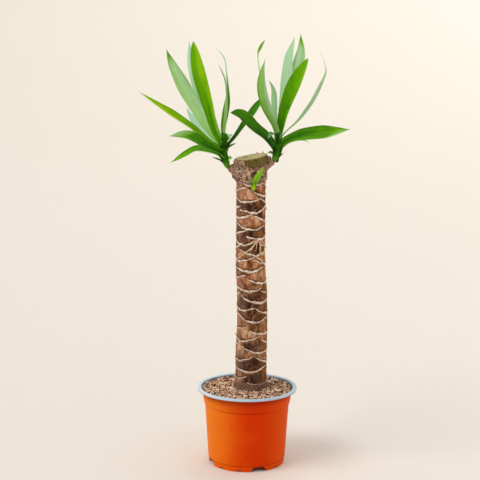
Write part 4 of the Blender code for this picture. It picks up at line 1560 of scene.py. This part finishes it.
@dataclass
class WaxSeal:
    """The wax over the saw cut, and the crust of old bark that climbs its left side."""

    top: SealedTop
    columns: int = 180
    side_rows: int = 18
    top_rings: int = 20
    bevel: float = 2.2
    bevel_rings: int = 5
    crust_turns: Pair = (-155.0, -13.0)
    crust_grid: tuple[int, int] = (34, 90)

    def cap(self, material: Material) -> Piece:
        """The wax: a skirt down the side and a gritty top.

        Args:
            material: The wax's material.

        Returns:
            The wax.
        """
        top, turns = self.top, np.arange(self.columns) * 360 / self.columns
        hem = top.hem_height(turns)
        rings = [top.cut_ring(turns, top.radius - 2.1, 1.3), top.ring(turns, top.radius - 1.3, hem)]
        kinds = [0.0, 0.0]
        rim = top.cut_ring(turns, top.radius, self.bevel)[:, 2]
        for row in range(self.side_rows + 1):
            share = row / self.side_rows
            radius = top.radius - 0.3 * (1 - smooth(share * 5))
            rings.append(top.ring(turns, radius, hem + (rim - hem) * share))
            kinds.append(0.0)
        for step in range(1, self.bevel_rings + 1):
            bend = step / self.bevel_rings * math.pi / 2
            in_by, down_by = self.bevel * (1 - math.cos(bend)), self.bevel * (1 - math.sin(bend))
            rings.append(top.cut_ring(turns, top.radius - in_by, down_by))
            kinds.append(step / self.bevel_rings)
        for step in range(1, self.top_rings):
            rings.append(top.cut_ring(turns, (top.radius - self.bevel) * (1 - step / self.top_rings), 0.0))
            kinds.append(1.0)
        points = np.vstack([*rings, [(top.axis_x, 0, top.cut - 1.3), (top.axis_x, 0, top.cut)]])
        kind = np.concatenate([np.repeat(kinds, self.columns), [0.0, 1.0]])
        lumps = 0.45 * soft_noise(points, 5.0, 3.0) + 0.25 * soft_noise(points, 2.0, 4.0)
        grit = 0.55 * soft_noise(points, 1.6, 6.0) + 0.5 * soft_noise(points, 4.0, 7.0)
        out = unit(points * (1, 1, 0) - (top.axis_x, 0, 0))
        out = out * (1 - kind)[:, None] + np.array([0, 0, 1]) * kind[:, None]
        held = np.ones(len(points))
        held[:2 * self.columns] = 0
        move = (lumps * (1 - 0.4 * kind) + grit * kind - 0.35) * held
        masks = {"top": kind, "edge": np.exp(-((kind - 0.5) / 0.35) ** 2)}
        faces = capped_faces(len(rings), self.columns)
        return new_piece("wax_cap", points + out * move[:, None], faces, [material], masks, SMOOTH_ALL)

    def crust(self, material: Material) -> Piece:
        """A ragged scab of bark on the wax's left side.

        Args:
            material: The crust's material.

        Returns:
            The crust.
        """
        rows, columns = self.crust_grid
        first, last = self.crust_turns
        turns = np.linspace(first, last, columns)
        share = np.linspace(0, 1, rows)[:, None]
        spots = np.stack([turns / 6, np.zeros(columns), np.zeros(columns)], -1)
        low = self.top.hem_height(turns) - 5.5
        rim = self.top.cut_ring(turns, self.top.radius, 0.2)[:, 2]
        edge = (last - turns) / (last - first)
        drop = 9.0 * smooth(1 - np.minimum(edge, 1 - edge) * 6.0) + 1.4 * soft_noise(spots, 1.0, 3.0)
        heights = low + (np.maximum(rim - drop, low + 1.0) - low) * share
        fade = smooth(np.minimum(share, 1 - share) * 5) * smooth(np.minimum(edge, 1 - edge) * 7)
        points = self.top.ring(np.broadcast_to(turns, heights.shape), self.top.radius, heights).reshape(-1, 3)
        out = unit(points * (1, 1, 0) - (self.top.axis_x, 0, 0))
        rough = 1.5 + 1.3 * soft_noise(points, 3.4, 2.0) + 0.8 * soft_noise(points, 1.5, 5.0)
        proud = (rough + 0.7) * fade.ravel() + 0.1
        points = np.vstack([points + out * proud[:, None], points - out])
        patch = 0.5 + 0.5 * soft_noise(points, 4.0, 11.0)
        scab = Heap()
        scab.add(points, sheet_faces(rows, columns), near=0.6 + 5 * patch, cord=0.0, tone=patch,
                 rise=6 * patch, cavity=0.5 - 0.5 * patch, crust=0.9, earth=0.0)
        return scab.piece("bark_crust", material, SMOOTH_ALL)

    def build(self) -> None:
        """Makes the wax and its crust."""
        settle(self.cap(SealingWax("olive_wax").material()), "wax_seal")
        settle(self.crust(Bark("crust_bark").material()))


class Tip(Enum):
    """What a leaf's last part looks like."""

    PLAIN = 0
    GREEN = 1
    # A pale tip is a painted reflection: pale sheen on the upper side.
    PAINTED_SHEEN = 2
    BROWN = 3


@dataclass(frozen=True)
class Leaf:
    """A blade and its look.

    Attributes:
        root: The height where it leaves its stem.
        path: The points that it passes.
        width: Its greatest width.
        faces: Where its upper side faces at the root.
        tip_faces: Where its upper side faces at the tip, if that differs.
        neck: Its neck's share of the width.
        widest: The share of its length where it is widest.
        shade: How light its green is.
        bloom: How waxy its lower side is.
        tip: What its last part looks like.
        fine: How drawn out its point is; 1 is plain.
        twist_from: The share of its length where it starts to turn its tip's way.
        petiole: The share of its length that stays as thin as the neck.
        top_sheen: How much pale painted sheen its upper side has: a painted reflection.
        blue: How bluish its wax is.
        lit: How much lighter one side is than the other.
        bloom_side: How much waxier one side's lower face is than the other's.
        stripe: Where its darker stripe of painted shade runs across, from -1 to 1.
    """

    root: float
    path: tuple[Place, ...]
    width: float
    faces: Place
    tip_faces: Place | None = None
    neck: float = 0.4
    widest: float = 0.56
    shade: float = 0.5
    bloom: float = 0.6
    tip: Tip = Tip.PLAIN
    fine: float = 1.1
    twist_from: float = 0.0
    petiole: float = 0.0
    top_sheen: float = 0.0
    blue: float = 0.25
    lit: float = 0.0
    bloom_side: float = 0.0
    stripe: float = 0.0

    def half_width(self, share: Array) -> Array:
        """Half the width along the blade: a neck, a broad middle and a point.

        Args:
            share: Shares of the blade's length.

        Returns:
            Half the width at each.
        """
        rising = self.neck + (1 - self.neck) * smooth((share - self.petiole) / (self.widest - self.petiole))
        falling = (1 - (np.clip(share - self.widest, 0, 1) / (1 - self.widest)) ** 2.1) ** self.fine
        return self.width / 2 * np.maximum(np.where(share < self.widest, rising, falling), 0.015)


@dataclass
class Shoot:
    """A leafy shoot: a green stem on a bud, with blades that clasp it.

    Attributes:
        name: The solid that it stands for.
        foot: The (x, y, z, radius) of the sheath that the stem rises from.
        stem: The points up the stem's middle.
        stem_radii: The radius at each.
        stem_shade: How light the stem's green is.
        reddish: How brown the stem's foot is.
        seed: The seed of its random draw.
        stations: The steps along a long, a middling and a short blade, with strips across each.
        channel: How deep a blade's channel is, as a share of its width.
        clasp_length: How far up a blade clasps the stem.
        blade_half: Half a blade's thickness along its middle, and how much less it is at its edge.
    """

    name: str
    foot: tuple[tuple[float, float, float, float], ...]
    stem: tuple[Place, ...]
    stem_radii: tuple[float, ...]
    leaves: tuple[Leaf, ...]
    stem_shade: float = 0.1
    reddish: float = 0.0
    seed: int = 1
    stations: tuple[int, int, int] = (66, 36, 18)
    strips: int = 12
    channel: float = 0.16
    channel_at_neck: float = 0.3
    neck_end: float = 0.3
    clasp_length: float = 14.0
    blade_half: Pair = (0.46, 0.3)

    def on_stem(self, height: float) -> tuple[Array, float]:
        """The stem at one height.

        Args:
            height: The height.

        Returns:
            Its middle and its radius there.
        """
        stem = np.array(self.stem)
        middle = np.array([np.interp(height, stem[:, 2], stem[:, axis]) for axis in range(3)])
        return middle, float(np.interp(height, stem[:, 2], self.stem_radii))

    def blade(self, heap: Heap, leaf: Leaf, draw: random.Random) -> None:
        """Adds one blade.

        Args:
            heap: Where it goes.
            leaf: The leaf.
            draw: The random draw.
        """
        root, stem_radius = self.on_stem(leaf.root)
        reach = float(np.linalg.norm(np.array(leaf.path[-1]) - root))
        stations = self.stations[0 if reach > 60 else 1 if reach > 25 else 2]
        path = smooth_line((tuple(root), *leaf.path), stations)
        share = np.linspace(0, 1, stations + 1)
        along = directions(path)
        start, end = np.array(leaf.faces, float), np.array(leaf.tip_faces or leaf.faces, float)
        facing = start + (end - start) * smooth((share - leaf.twist_from) / (1 - leaf.twist_from))[:, None]
        normal = unit(facing - along * np.sum(facing * along, axis=1, keepdims=True))
        across = np.cross(along, normal)
        distance = np.concatenate([[0], np.cumsum(np.linalg.norm(np.diff(path, axis=0), axis=1))])
        half = leaf.half_width(share)
        clasp = 1 - smooth(distance / min(self.clasp_length, reach * 0.5))
        half = half + clasp * np.maximum(stem_radius * 1.15 - half, 0)
        cup = self.channel + (self.channel_at_neck - self.channel) * (1 - smooth(share / self.neck_end))
        bend = 2 * np.arctan(2 * cup) * (1 - 0.3 * smooth((share - 0.7) / 0.3))
        bend = bend + clasp * np.maximum(1.45 - bend, 0)
        side = np.linspace(-1, 1, self.strips + 1)
        radius = half / np.maximum(np.sin(bend), 1e-3)
        sweep = bend[:, None] * side[None]
        lateral = radius[:, None] * np.sin(sweep)
        lift = radius[:, None] * (1 - np.cos(sweep))
        phase, step = draw.uniform(0, math.tau), draw.uniform(7.0, 10.5)
        wave = 0.045 * half * np.sin(distance / step + phase) * smooth(share * 6) * smooth((1 - share) * 5)
        lift = lift + wave[:, None] * side[None] ** 2 * np.sign(side)[None]
        crease = 0.05 * half * (1 - smooth((share - 0.6) / 0.4))
        crease = np.exp(-((side / 0.13) ** 2))[None] * crease[:, None]
        lift = lift - crease - (clasp * stem_radius * 0.98)[:, None]
        across, normal = across[:, None], normal[:, None]
        middle = path[:, None] + across * lateral[..., None] + normal * lift[..., None]
        outward = unit(normal * np.cos(sweep)[..., None] - across * np.sin(sweep)[..., None])
        half_thick, edge_less = self.blade_half
        thick = (half_thick - edge_less * side[None] ** 2) * (1 + 0.5 * clasp)[:, None]
        thick = thick * (1 - 0.55 * smooth((share - 0.75) / 0.25))[:, None]
        upper, lower = middle + outward * thick[..., None], middle - outward * thick[..., None]
        points = np.concatenate([upper.reshape(-1, 3), lower.reshape(-1, 3)])
        heap.add(points, sheet_faces(stations + 1, self.strips + 1),
                 **self.blade_masks(leaf, share, distance, half, side, clasp, draw.random()))

    @staticmethod
    def blade_masks(leaf: Leaf, share: Array, distance: Array, half: Array, side: Array,
                    clasp: Array, seed: float) -> dict[str, Array]:
        """The leaf skin's masks for one blade.

        Args:
            leaf: The leaf.
            share: The share of the length at each station.
            distance: The distance along the blade at each station.
            half: Half the width at each station.
            side: The place across the blade, from -1 to 1.
            clasp: How much each station clasps the stem.
            seed: The number that sets its veins apart from other leaves'.

        Returns:
            Each mask's numbers, the upper face's before the lower's.
        """
        flat = np.ones_like(side)[None]
        end = smooth((share - 0.84) / 0.12)[:, None] * flat
        shade = leaf.shade + (-0.3 * clasp + 0.1 * smooth((share - 0.3) / 0.5))[:, None] * flat
        shade = shade + 0.22 * leaf.lit * side[None]
        rising = (1 - 0.85 * clasp) * (0.6 + 0.4 * smooth(share / 0.5))
        below = leaf.bloom * rising[:, None] + 0.4 * leaf.bloom_side * side[None]
        # Painted reflection: on the upper face the wax mask carries a pale sheen.
        above = leaf.top_sheen * np.ones_like(shade)
        if leaf.tip is Tip.GREEN:
            below = below * (1 - end)
        if leaf.tip is Tip.PAINTED_SHEEN:
            above = above + 0.55 * smooth((share[:, None] + 0.2 * side[None] - 0.66) / 0.3)
        dry = smooth((share - 0.987) / 0.012)[:, None] * flat * 0.7
        if leaf.tip is Tip.BROWN:
            dry = smooth((share - 0.72) / 0.25)[:, None] * flat
        # Painted shade: a darker stripe along the blade's fold, in its lower part.
        fold = np.exp(-(((side - leaf.stripe) / 0.24) ** 2))[None]
        fold = fold * (smooth(share / 0.1) * (1 - smooth((share - 0.35) / 0.35)))[:, None]
        alike = {
            "shade": shade, "dry": dry, "along": distance[:, None] * flat,
            "across": side[None] * half[:, None], "rim": np.abs(side)[None] * np.ones_like(shade),
            "blue": np.full_like(shade, leaf.blue), "seed": np.full_like(shade, seed),
        }
        masks = {key: (value, value) for key, value in alike.items()}
        masks.update(wax=(above, below), fold=(fold, 0.4 * fold))
        return {key: np.concatenate([np.ravel(value) for value in pair]) for key, pair in masks.items()}

    def stalk(self, heap: Heap) -> None:
        """Adds the stem, ringed by the sheaths of its leaves.

        Args:
            heap: Where it goes.
        """
        upper = [(*point, radius) for point, radius in zip(self.stem, self.stem_radii)]
        knots = np.array([*self.foot, *upper])
        steps, sides = 110, 40
        path = smooth_line(knots[:, :3], steps)
        radii = np.interp(path[:, 2], knots[:, 2], knots[:, 3])
        for level in sorted(leaf.root for leaf in self.leaves):
            away = path[:, 2] - level + 3
            radii = radii + np.where(away > 0, 0.28 * np.exp(-away / 3.0), 0) - 0.04
        points, faces = tube(path, np.maximum(radii, 0.4), sides)
        rise = points[:, 2] - path[0, 2]
        shade = self.stem_shade + 0.5 * smooth(1 - rise / 19)
        dry = self.reddish * smooth(1 - (rise - 0.5) / 5)
        heap.add(points, faces, shade=shade, wax=0.0, dry=dry, fold=0.0, along=rise,
                 across=points[:, 0] * 0.8, rim=0.0, blue=0.3, seed=0.37)

    def build(self, skin: Material) -> None:
        """Makes the shoot.

        Args:
            skin: The leaf skin.
        """
        draw = random.Random(self.seed)
        leaves, stalk = Heap(), Heap()
        for leaf in self.leaves:
            self.blade(leaves, leaf, draw)
        self.stalk(stalk)
        settle(leaves.piece(f"{self.name}_leaves", skin, 60), self.name)
        settle(stalk.piece(f"{self.name}_stem", skin, 60))


def left_shoot() -> Shoot:
    """The left shoot.

    Returns:
        The shoot.
    """
    leaves = (
        Leaf(541, ((-60, -8, 548), (-97, -25, 578.5), (-143, -45, 611), (-179, -58, 637)), 15.5,
             (0.3, -0.66, 0.7), widest=0.54, shade=0.76, fine=1.35, lit=-1.0),
        Leaf(544, ((-59, 12, 556), (-82, 28, 590), (-106.5, 35, 630), (-127, 28, 671), (-138, 15, 702)), 25,
             (0.3, 0.9, 0.2), neck=0.46, widest=0.6, bloom=0.66, shade=0.55, tip=Tip.GREEN, blue=0.05,
             bloom_side=-0.5, lit=0.3),
        Leaf(548, ((-54, 15, 564), (-72, 40, 606), (-91, 66, 650), (-101, 86, 686), (-103.5, 98, 714)), 23,
             (0.2, 0.95, 0.1), bloom=0.9, blue=0.6),
        Leaf(541, ((-57, 0, 568), (-69, 2, 611), (-81, 8, 651), (-89, 18, 684), (-94, 30, 715)), 22.5,
             (0.15, -1, 0.1), neck=0.42, widest=0.66, shade=0.6, fine=0.76, lit=0.7, stripe=0.1),
        Leaf(536, ((-60, 14, 549), (-81, 32, 567), (-97.5, 50, 585), (-107, 60, 603)), 20,
             (0.3, 0.85, 0.35), bloom=0.95, blue=0.9, fine=1.3),
        Leaf(528, ((-57, -14, 539), (-75, -32, 549), (-90, -48, 559.5), (-107, -62, 566),
                   (-129, -79, 566.5)), 28, (0.15, -0.7, 0.7), widest=0.48, shade=0.36, tip=Tip.PAINTED_SHEEN,
             fine=1.35, blue=0.6),
        Leaf(524, ((-61, 10, 532), (-86, 28, 535), (-107, 42, 524.5), (-135, 55, 507.5)), 15.5,
             (0.1, -0.72, 0.68), shade=0.44, fine=1.4, lit=-0.5),
        Leaf(548, ((-44, 10, 572), (-41, 25, 596), (-37.5, 40, 623), (-39, 58, 658), (-43, 70, 685),
                   (-57, 80, 703)), 14, (0.42, -0.9, 0.1), (1, 0.25, 0.1), widest=0.33, shade=0.2,
             bloom=0.8, top_sheen=0.12, lit=-1.3, blue=0.5),
        Leaf(550, ((-40, -4, 572), (-37, -14, 598), (-36, -22, 622), (-38.5, -32, 654), (-51, -40, 682)),
             12, (-0.7, -0.7, 0.1), (-0.95, 0.2, 0.3), widest=0.4, shade=0.42, bloom=0.5, top_sheen=0.45,
             blue=0.3),
        Leaf(539, ((-27, 10, 552), (-13, 24, 570), (3.5, 42, 591), (19, 58, 612), (31, 66, 622)), 19,
             (-0.55, -0.55, 0.6), widest=0.74, fine=0.8, shade=0.16, lit=0.5),
        Leaf(536, ((-33, -4, 542), (-21, -8, 549)), 6, (-0.3, -0.5, 0.8), shade=0.12),
        Leaf(542, ((-39, -18, 553), (-35, -44, 563), (-32, -70, 569), (-30.5, -92, 563)), 13.5,
             (0.1, 0.35, 1), shade=0.16, bloom=0.0, top_sheen=0.6, blue=0.9, fine=1.3),
        Leaf(517, ((-33, -4, 523), (-27, -9, 524)), 8, (-0.5, -0.6, 0.5), shade=0.45, top_sheen=0.2),
        Leaf(518, ((-48, -2, 520), (-61, -5, 525)), 5, (0.3, -0.4, 0.9), shade=0.2, tip=Tip.BROWN),
    )
    foot = ((-35.0, -1.2, 504.6, 0.6), (-35.5, -0.9, 507.4, 3.2), (-36.4, -0.4, 511.2, 5.5))
    stem = ((-37.5, 0, 516), (-39.5, 0, 524), (-41, 0, 538), (-42, 0, 554), (-43, 0, 566))
    return Shoot("left_shoot", foot, stem, (6.1, 5.8, 5.6, 5.0, 2.8), leaves, seed=3)


def right_shoot() -> Shoot:
    """The right shoot.

    Returns:
        The shoot.
    """
    leaves = (
        Leaf(532, ((37, -12, 549), (26.5, -25, 563), (10, -41, 577.5), (-4, -55, 592), (-16, -67, 602),
                   (-30, -80, 605)), 21, (0.2, -0.82, 0.55), (0.4, -0.82, 0.35), neck=0.72, widest=0.72,
             shade=0.14, bloom=0.08, fine=0.95, blue=0.9, lit=0.4),
        Leaf(558, ((39, -16, 585), (25.5, -30, 615), (19, -42, 644.5), (20.5, -50, 669), (26, -56, 691)),
             18.5, (0.4, 0.9, 0.05), neck=0.5, widest=0.5, bloom=0.38, fine=1.35, blue=0.1, shade=0.44,
             bloom_side=-1.0, lit=0.4),
        Leaf(552, ((40, 12, 573), (28, 26, 610), (19.5, 38, 649), (13.5, 48, 692), (18, 50, 706),
                   (26.5, 52, 718)), 8.5, (0.98, -0.04, 0.1), (0.5, -0.85, 0.1), shade=0.55, bloom=0.8,
             widest=0.86, neck=0.6, twist_from=0.8, top_sheen=0.25),
        Leaf(562, ((43.5, 3, 583), (41, 2, 611), (39.5, -4, 637), (31.5, -12, 655)), 11.5, (0.5, 0.8, 0.2),
             bloom=0.8, fine=1.3, blue=0.4, bloom_side=-0.3),
        Leaf(556, ((50.5, 14, 576), (56, 34, 612), (61, 54, 651), (65, 70, 687), (77, 84, 722)), 22,
             (0.5, 0.85, 0.1), widest=0.6, bloom=0.95, blue=0.4, shade=0.38),
        Leaf(558, ((55, 16, 582), (66, 40, 619), (79.5, 64, 657), (88.5, 84, 696), (87.5, 98, 727)), 24,
             (-0.35, 0.92, 0.1), widest=0.62, bloom=0.78, tip=Tip.GREEN, blue=0.15, bloom_side=0.3),
        Leaf(552, ((51.5, -3, 566), (56.5, -8, 597), (67, -13, 629.5), (82, -16, 664), (96, -14, 690)),
             23.5, (-0.35, -0.9, 0.2), neck=0.46, widest=0.64, fine=0.84, shade=0.48, lit=0.5, stripe=0.2),
        Leaf(546, ((61, 8, 566), (85, 22, 587), (110, 40, 619), (129, 58, 659), (128, 64, 678),
                   (120.5, 68, 698)), 15, (-0.7, 0.6, 0.4), (-0.95, 0.1, -0.1), bloom=0.75, blue=0.4,
             neck=0.2, petiole=0.14, fine=1.2, shade=0.4),
        Leaf(535, ((60, 4, 551), (86, 18, 559), (118, 34, 562), (147, 48, 565), (173, 57, 567.5)), 27,
             (0, -0.8, 0.6), shade=0.43, tip=Tip.PAINTED_SHEEN, fine=1.3, blue=0.35, lit=0.35, stripe=-0.1,
             top_sheen=-0.22),
        Leaf(530, ((63, 16, 547), (85, 36, 551), (104, 52, 544)), 14, (0, -0.35, 0.9), shade=0.55),
        Leaf(522, ((51, -4, 527), (58, -6, 533)), 5, (-0.2, -0.5, 0.8), shade=0.05, bloom=0.0),
        Leaf(550, ((47, -20, 561), (43, -46, 569.5), (37, -70, 570), (30, -93, 565)), 13.5, (0.1, 0.35, 1),
             shade=-0.45, bloom=0.0, top_sheen=0.45, blue=1.0),
        Leaf(528, ((38, -4, 533), (31, -7, 533)), 6, (0.3, -0.6, 0.7), shade=0.45, top_sheen=0.15),
    )
    foot = ((43.4, -0.3, 517.6, 3.4), (44.0, -0.1, 519.8, 5.8))
    stem = ((44.5, 0, 522.5), (46.3, 0, 531), (47.5, 0, 544), (49, 0, 560), (50, 0, 574))
    return Shoot("right_shoot", foot, stem, (6.4, 6.8, 7.0, 5.4, 3.0), leaves, reddish=0.9, seed=5)


def sprout() -> Shoot:
    """The young sprout on the front of the cane's head.

    Returns:
        The sprout.
    """
    leaves = (
        Leaf(480, ((12, -38, 490), (18, -42, 501), (25, -45, 515)), 10.5, (-0.3, -0.9, 0.4), shade=0.68,
             widest=0.42, fine=1.4, lit=-1.0, top_sheen=0.1, blue=0.4),
        Leaf(480, ((4, -37, 487), (-2, -40, 496)), 4.0, (0.5, -0.6, 0.6), shade=0.35),
        Leaf(482, ((14, -37, 492), (21, -39, 504)), 6.5, (-0.4, -0.7, 0.5), shade=0.3),
    )
    foot = ((7.5, -30.5, 475.2, 2.8),)
    stem = ((8, -34, 478), (9, -34.6, 482), (9.8, -35, 486))
    return Shoot("sprout", foot, stem, (3.0, 2.8, 1.8), leaves, stem_shade=0.5, seed=9)


@dataclass
class Studio:
    """A pale floor, soft lights and the camera.

    A lamp has a name, the way towards it, how wide it looks in degrees, its power and its colour.
    """

    eye: Place = (0.0, -2230.0, 772.0)
    look_down: float = 8.83
    look_left: float = 0.357
    roll: float = 0.381
    lens: float = 100.9
    shift: float = -0.05
    floor_section: tuple[Pair, ...] = (
        (11600, 9000), (11400, 6500), (10900, 4300), (10000, 2500), (8700, 1100), (7200, 280), (6000, 0),
        (3000, 0), (800, 0), (200, 0),
    )
    floor_columns: int = 96
    room: Colour = (1.0, 0.985, 0.96)
    room_strength: float = 0.58
    lamps: tuple[tuple[str, Place, float, float, Colour], ...] = (
        ("key_light", (-1.0, -0.6, 0.95), 40, 2.45, (1.0, 0.97, 0.92)),
        ("fill_light", (0.5, -1.0, 0.7), 60, 0.42, (1.0, 0.96, 0.9)),
        ("back_light", (0.25, 1.0, 1.1), 50, 0.45, (1.0, 0.98, 0.95)),
    )

    def floor(self) -> None:
        """Lays the paper, which rises far off all round."""
        columns = self.floor_columns
        turns = np.arange(columns) * math.tau / columns
        rings = [level_ring(0, radius, height, turns) for radius, height in self.floor_section]
        points = np.vstack([*rings, [(0, 0, 0)]])
        faces = wound_faces(len(rings), columns).tolist()
        inner = (len(rings) - 1) * columns
        faces += [[inner + c, inner + (c + 1) % columns, len(points) - 1] for c in range(columns)]
        new_piece("paper_floor", points, faces, [StudioPaper("studio_paper").material()])

    def lamp(self, name: str, way: Place, spread: float, power: float, colour: Colour) -> None:
        """Adds one wide soft light.

        Args:
            name: Its name.
            way: The way towards it from the plant.
            spread: How wide it looks from the plant, in degrees.
            power: Its power in watts on a square metre.
            colour: Its colour.
        """
        data = bpy.data.lights.new(name, "SUN")
        data.angle, data.energy, data.color = math.radians(spread), power, colour
        lamp = bpy.data.objects.new(name, data)
        lamp.rotation_euler = Vector(way).to_track_quat("Z", "Y").to_euler()
        bpy.context.scene.collection.objects.link(lamp)

    def sky(self) -> None:
        """Fills the room with even pale light."""
        world = bpy.data.worlds.new("studio_room")
        world.use_nodes = True
        backdrop = world.node_tree.nodes["Background"]
        backdrop.inputs["Color"].default_value = (*self.room, 1)
        backdrop.inputs["Strength"].default_value = self.room_strength
        bpy.context.scene.world = world

    def camera(self) -> None:
        """Sets the camera at the photograph's place."""
        data = bpy.data.cameras.new("camera")
        data.lens, data.sensor_width, data.shift_y = self.lens, 36.0, self.shift
        data.clip_start, data.clip_end = 0.05, 100.0
        camera = bpy.data.objects.new("camera", data)
        turn = Euler((math.radians(90 - self.look_down), 0, math.radians(self.look_left))).to_matrix()
        turn = turn @ Matrix.Rotation(math.radians(self.roll), 3, "Z")
        camera.matrix_world = Matrix.Translation(Vector(self.eye) * MM) @ turn.to_4x4()
        bpy.context.scene.collection.objects.link(camera)
        bpy.context.scene.camera = camera

    def build(self) -> None:
        """Sets up the studio."""
        self.floor()
        self.sky()
        for lamp in self.lamps:
            self.lamp(*lamp)
        self.camera()
        bpy.context.scene.view_settings.view_transform = "Standard"


def main() -> None:
    """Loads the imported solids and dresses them."""
    logging.basicConfig(level=logging.INFO, format="%(message)s")
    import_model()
    Studio().build()
    pot, top = NurseryPot(), SealedTop()
    pot.build()
    PottingMix(pot).build()
    Cane(top).build()
    WaxSeal(top).build()
    skin = LeafSkin("leaf_skin").material()
    for shoot in (left_shoot(), right_shoot(), sprout()):
        shoot.build(skin)


if __name__ == "__main__":
    main()
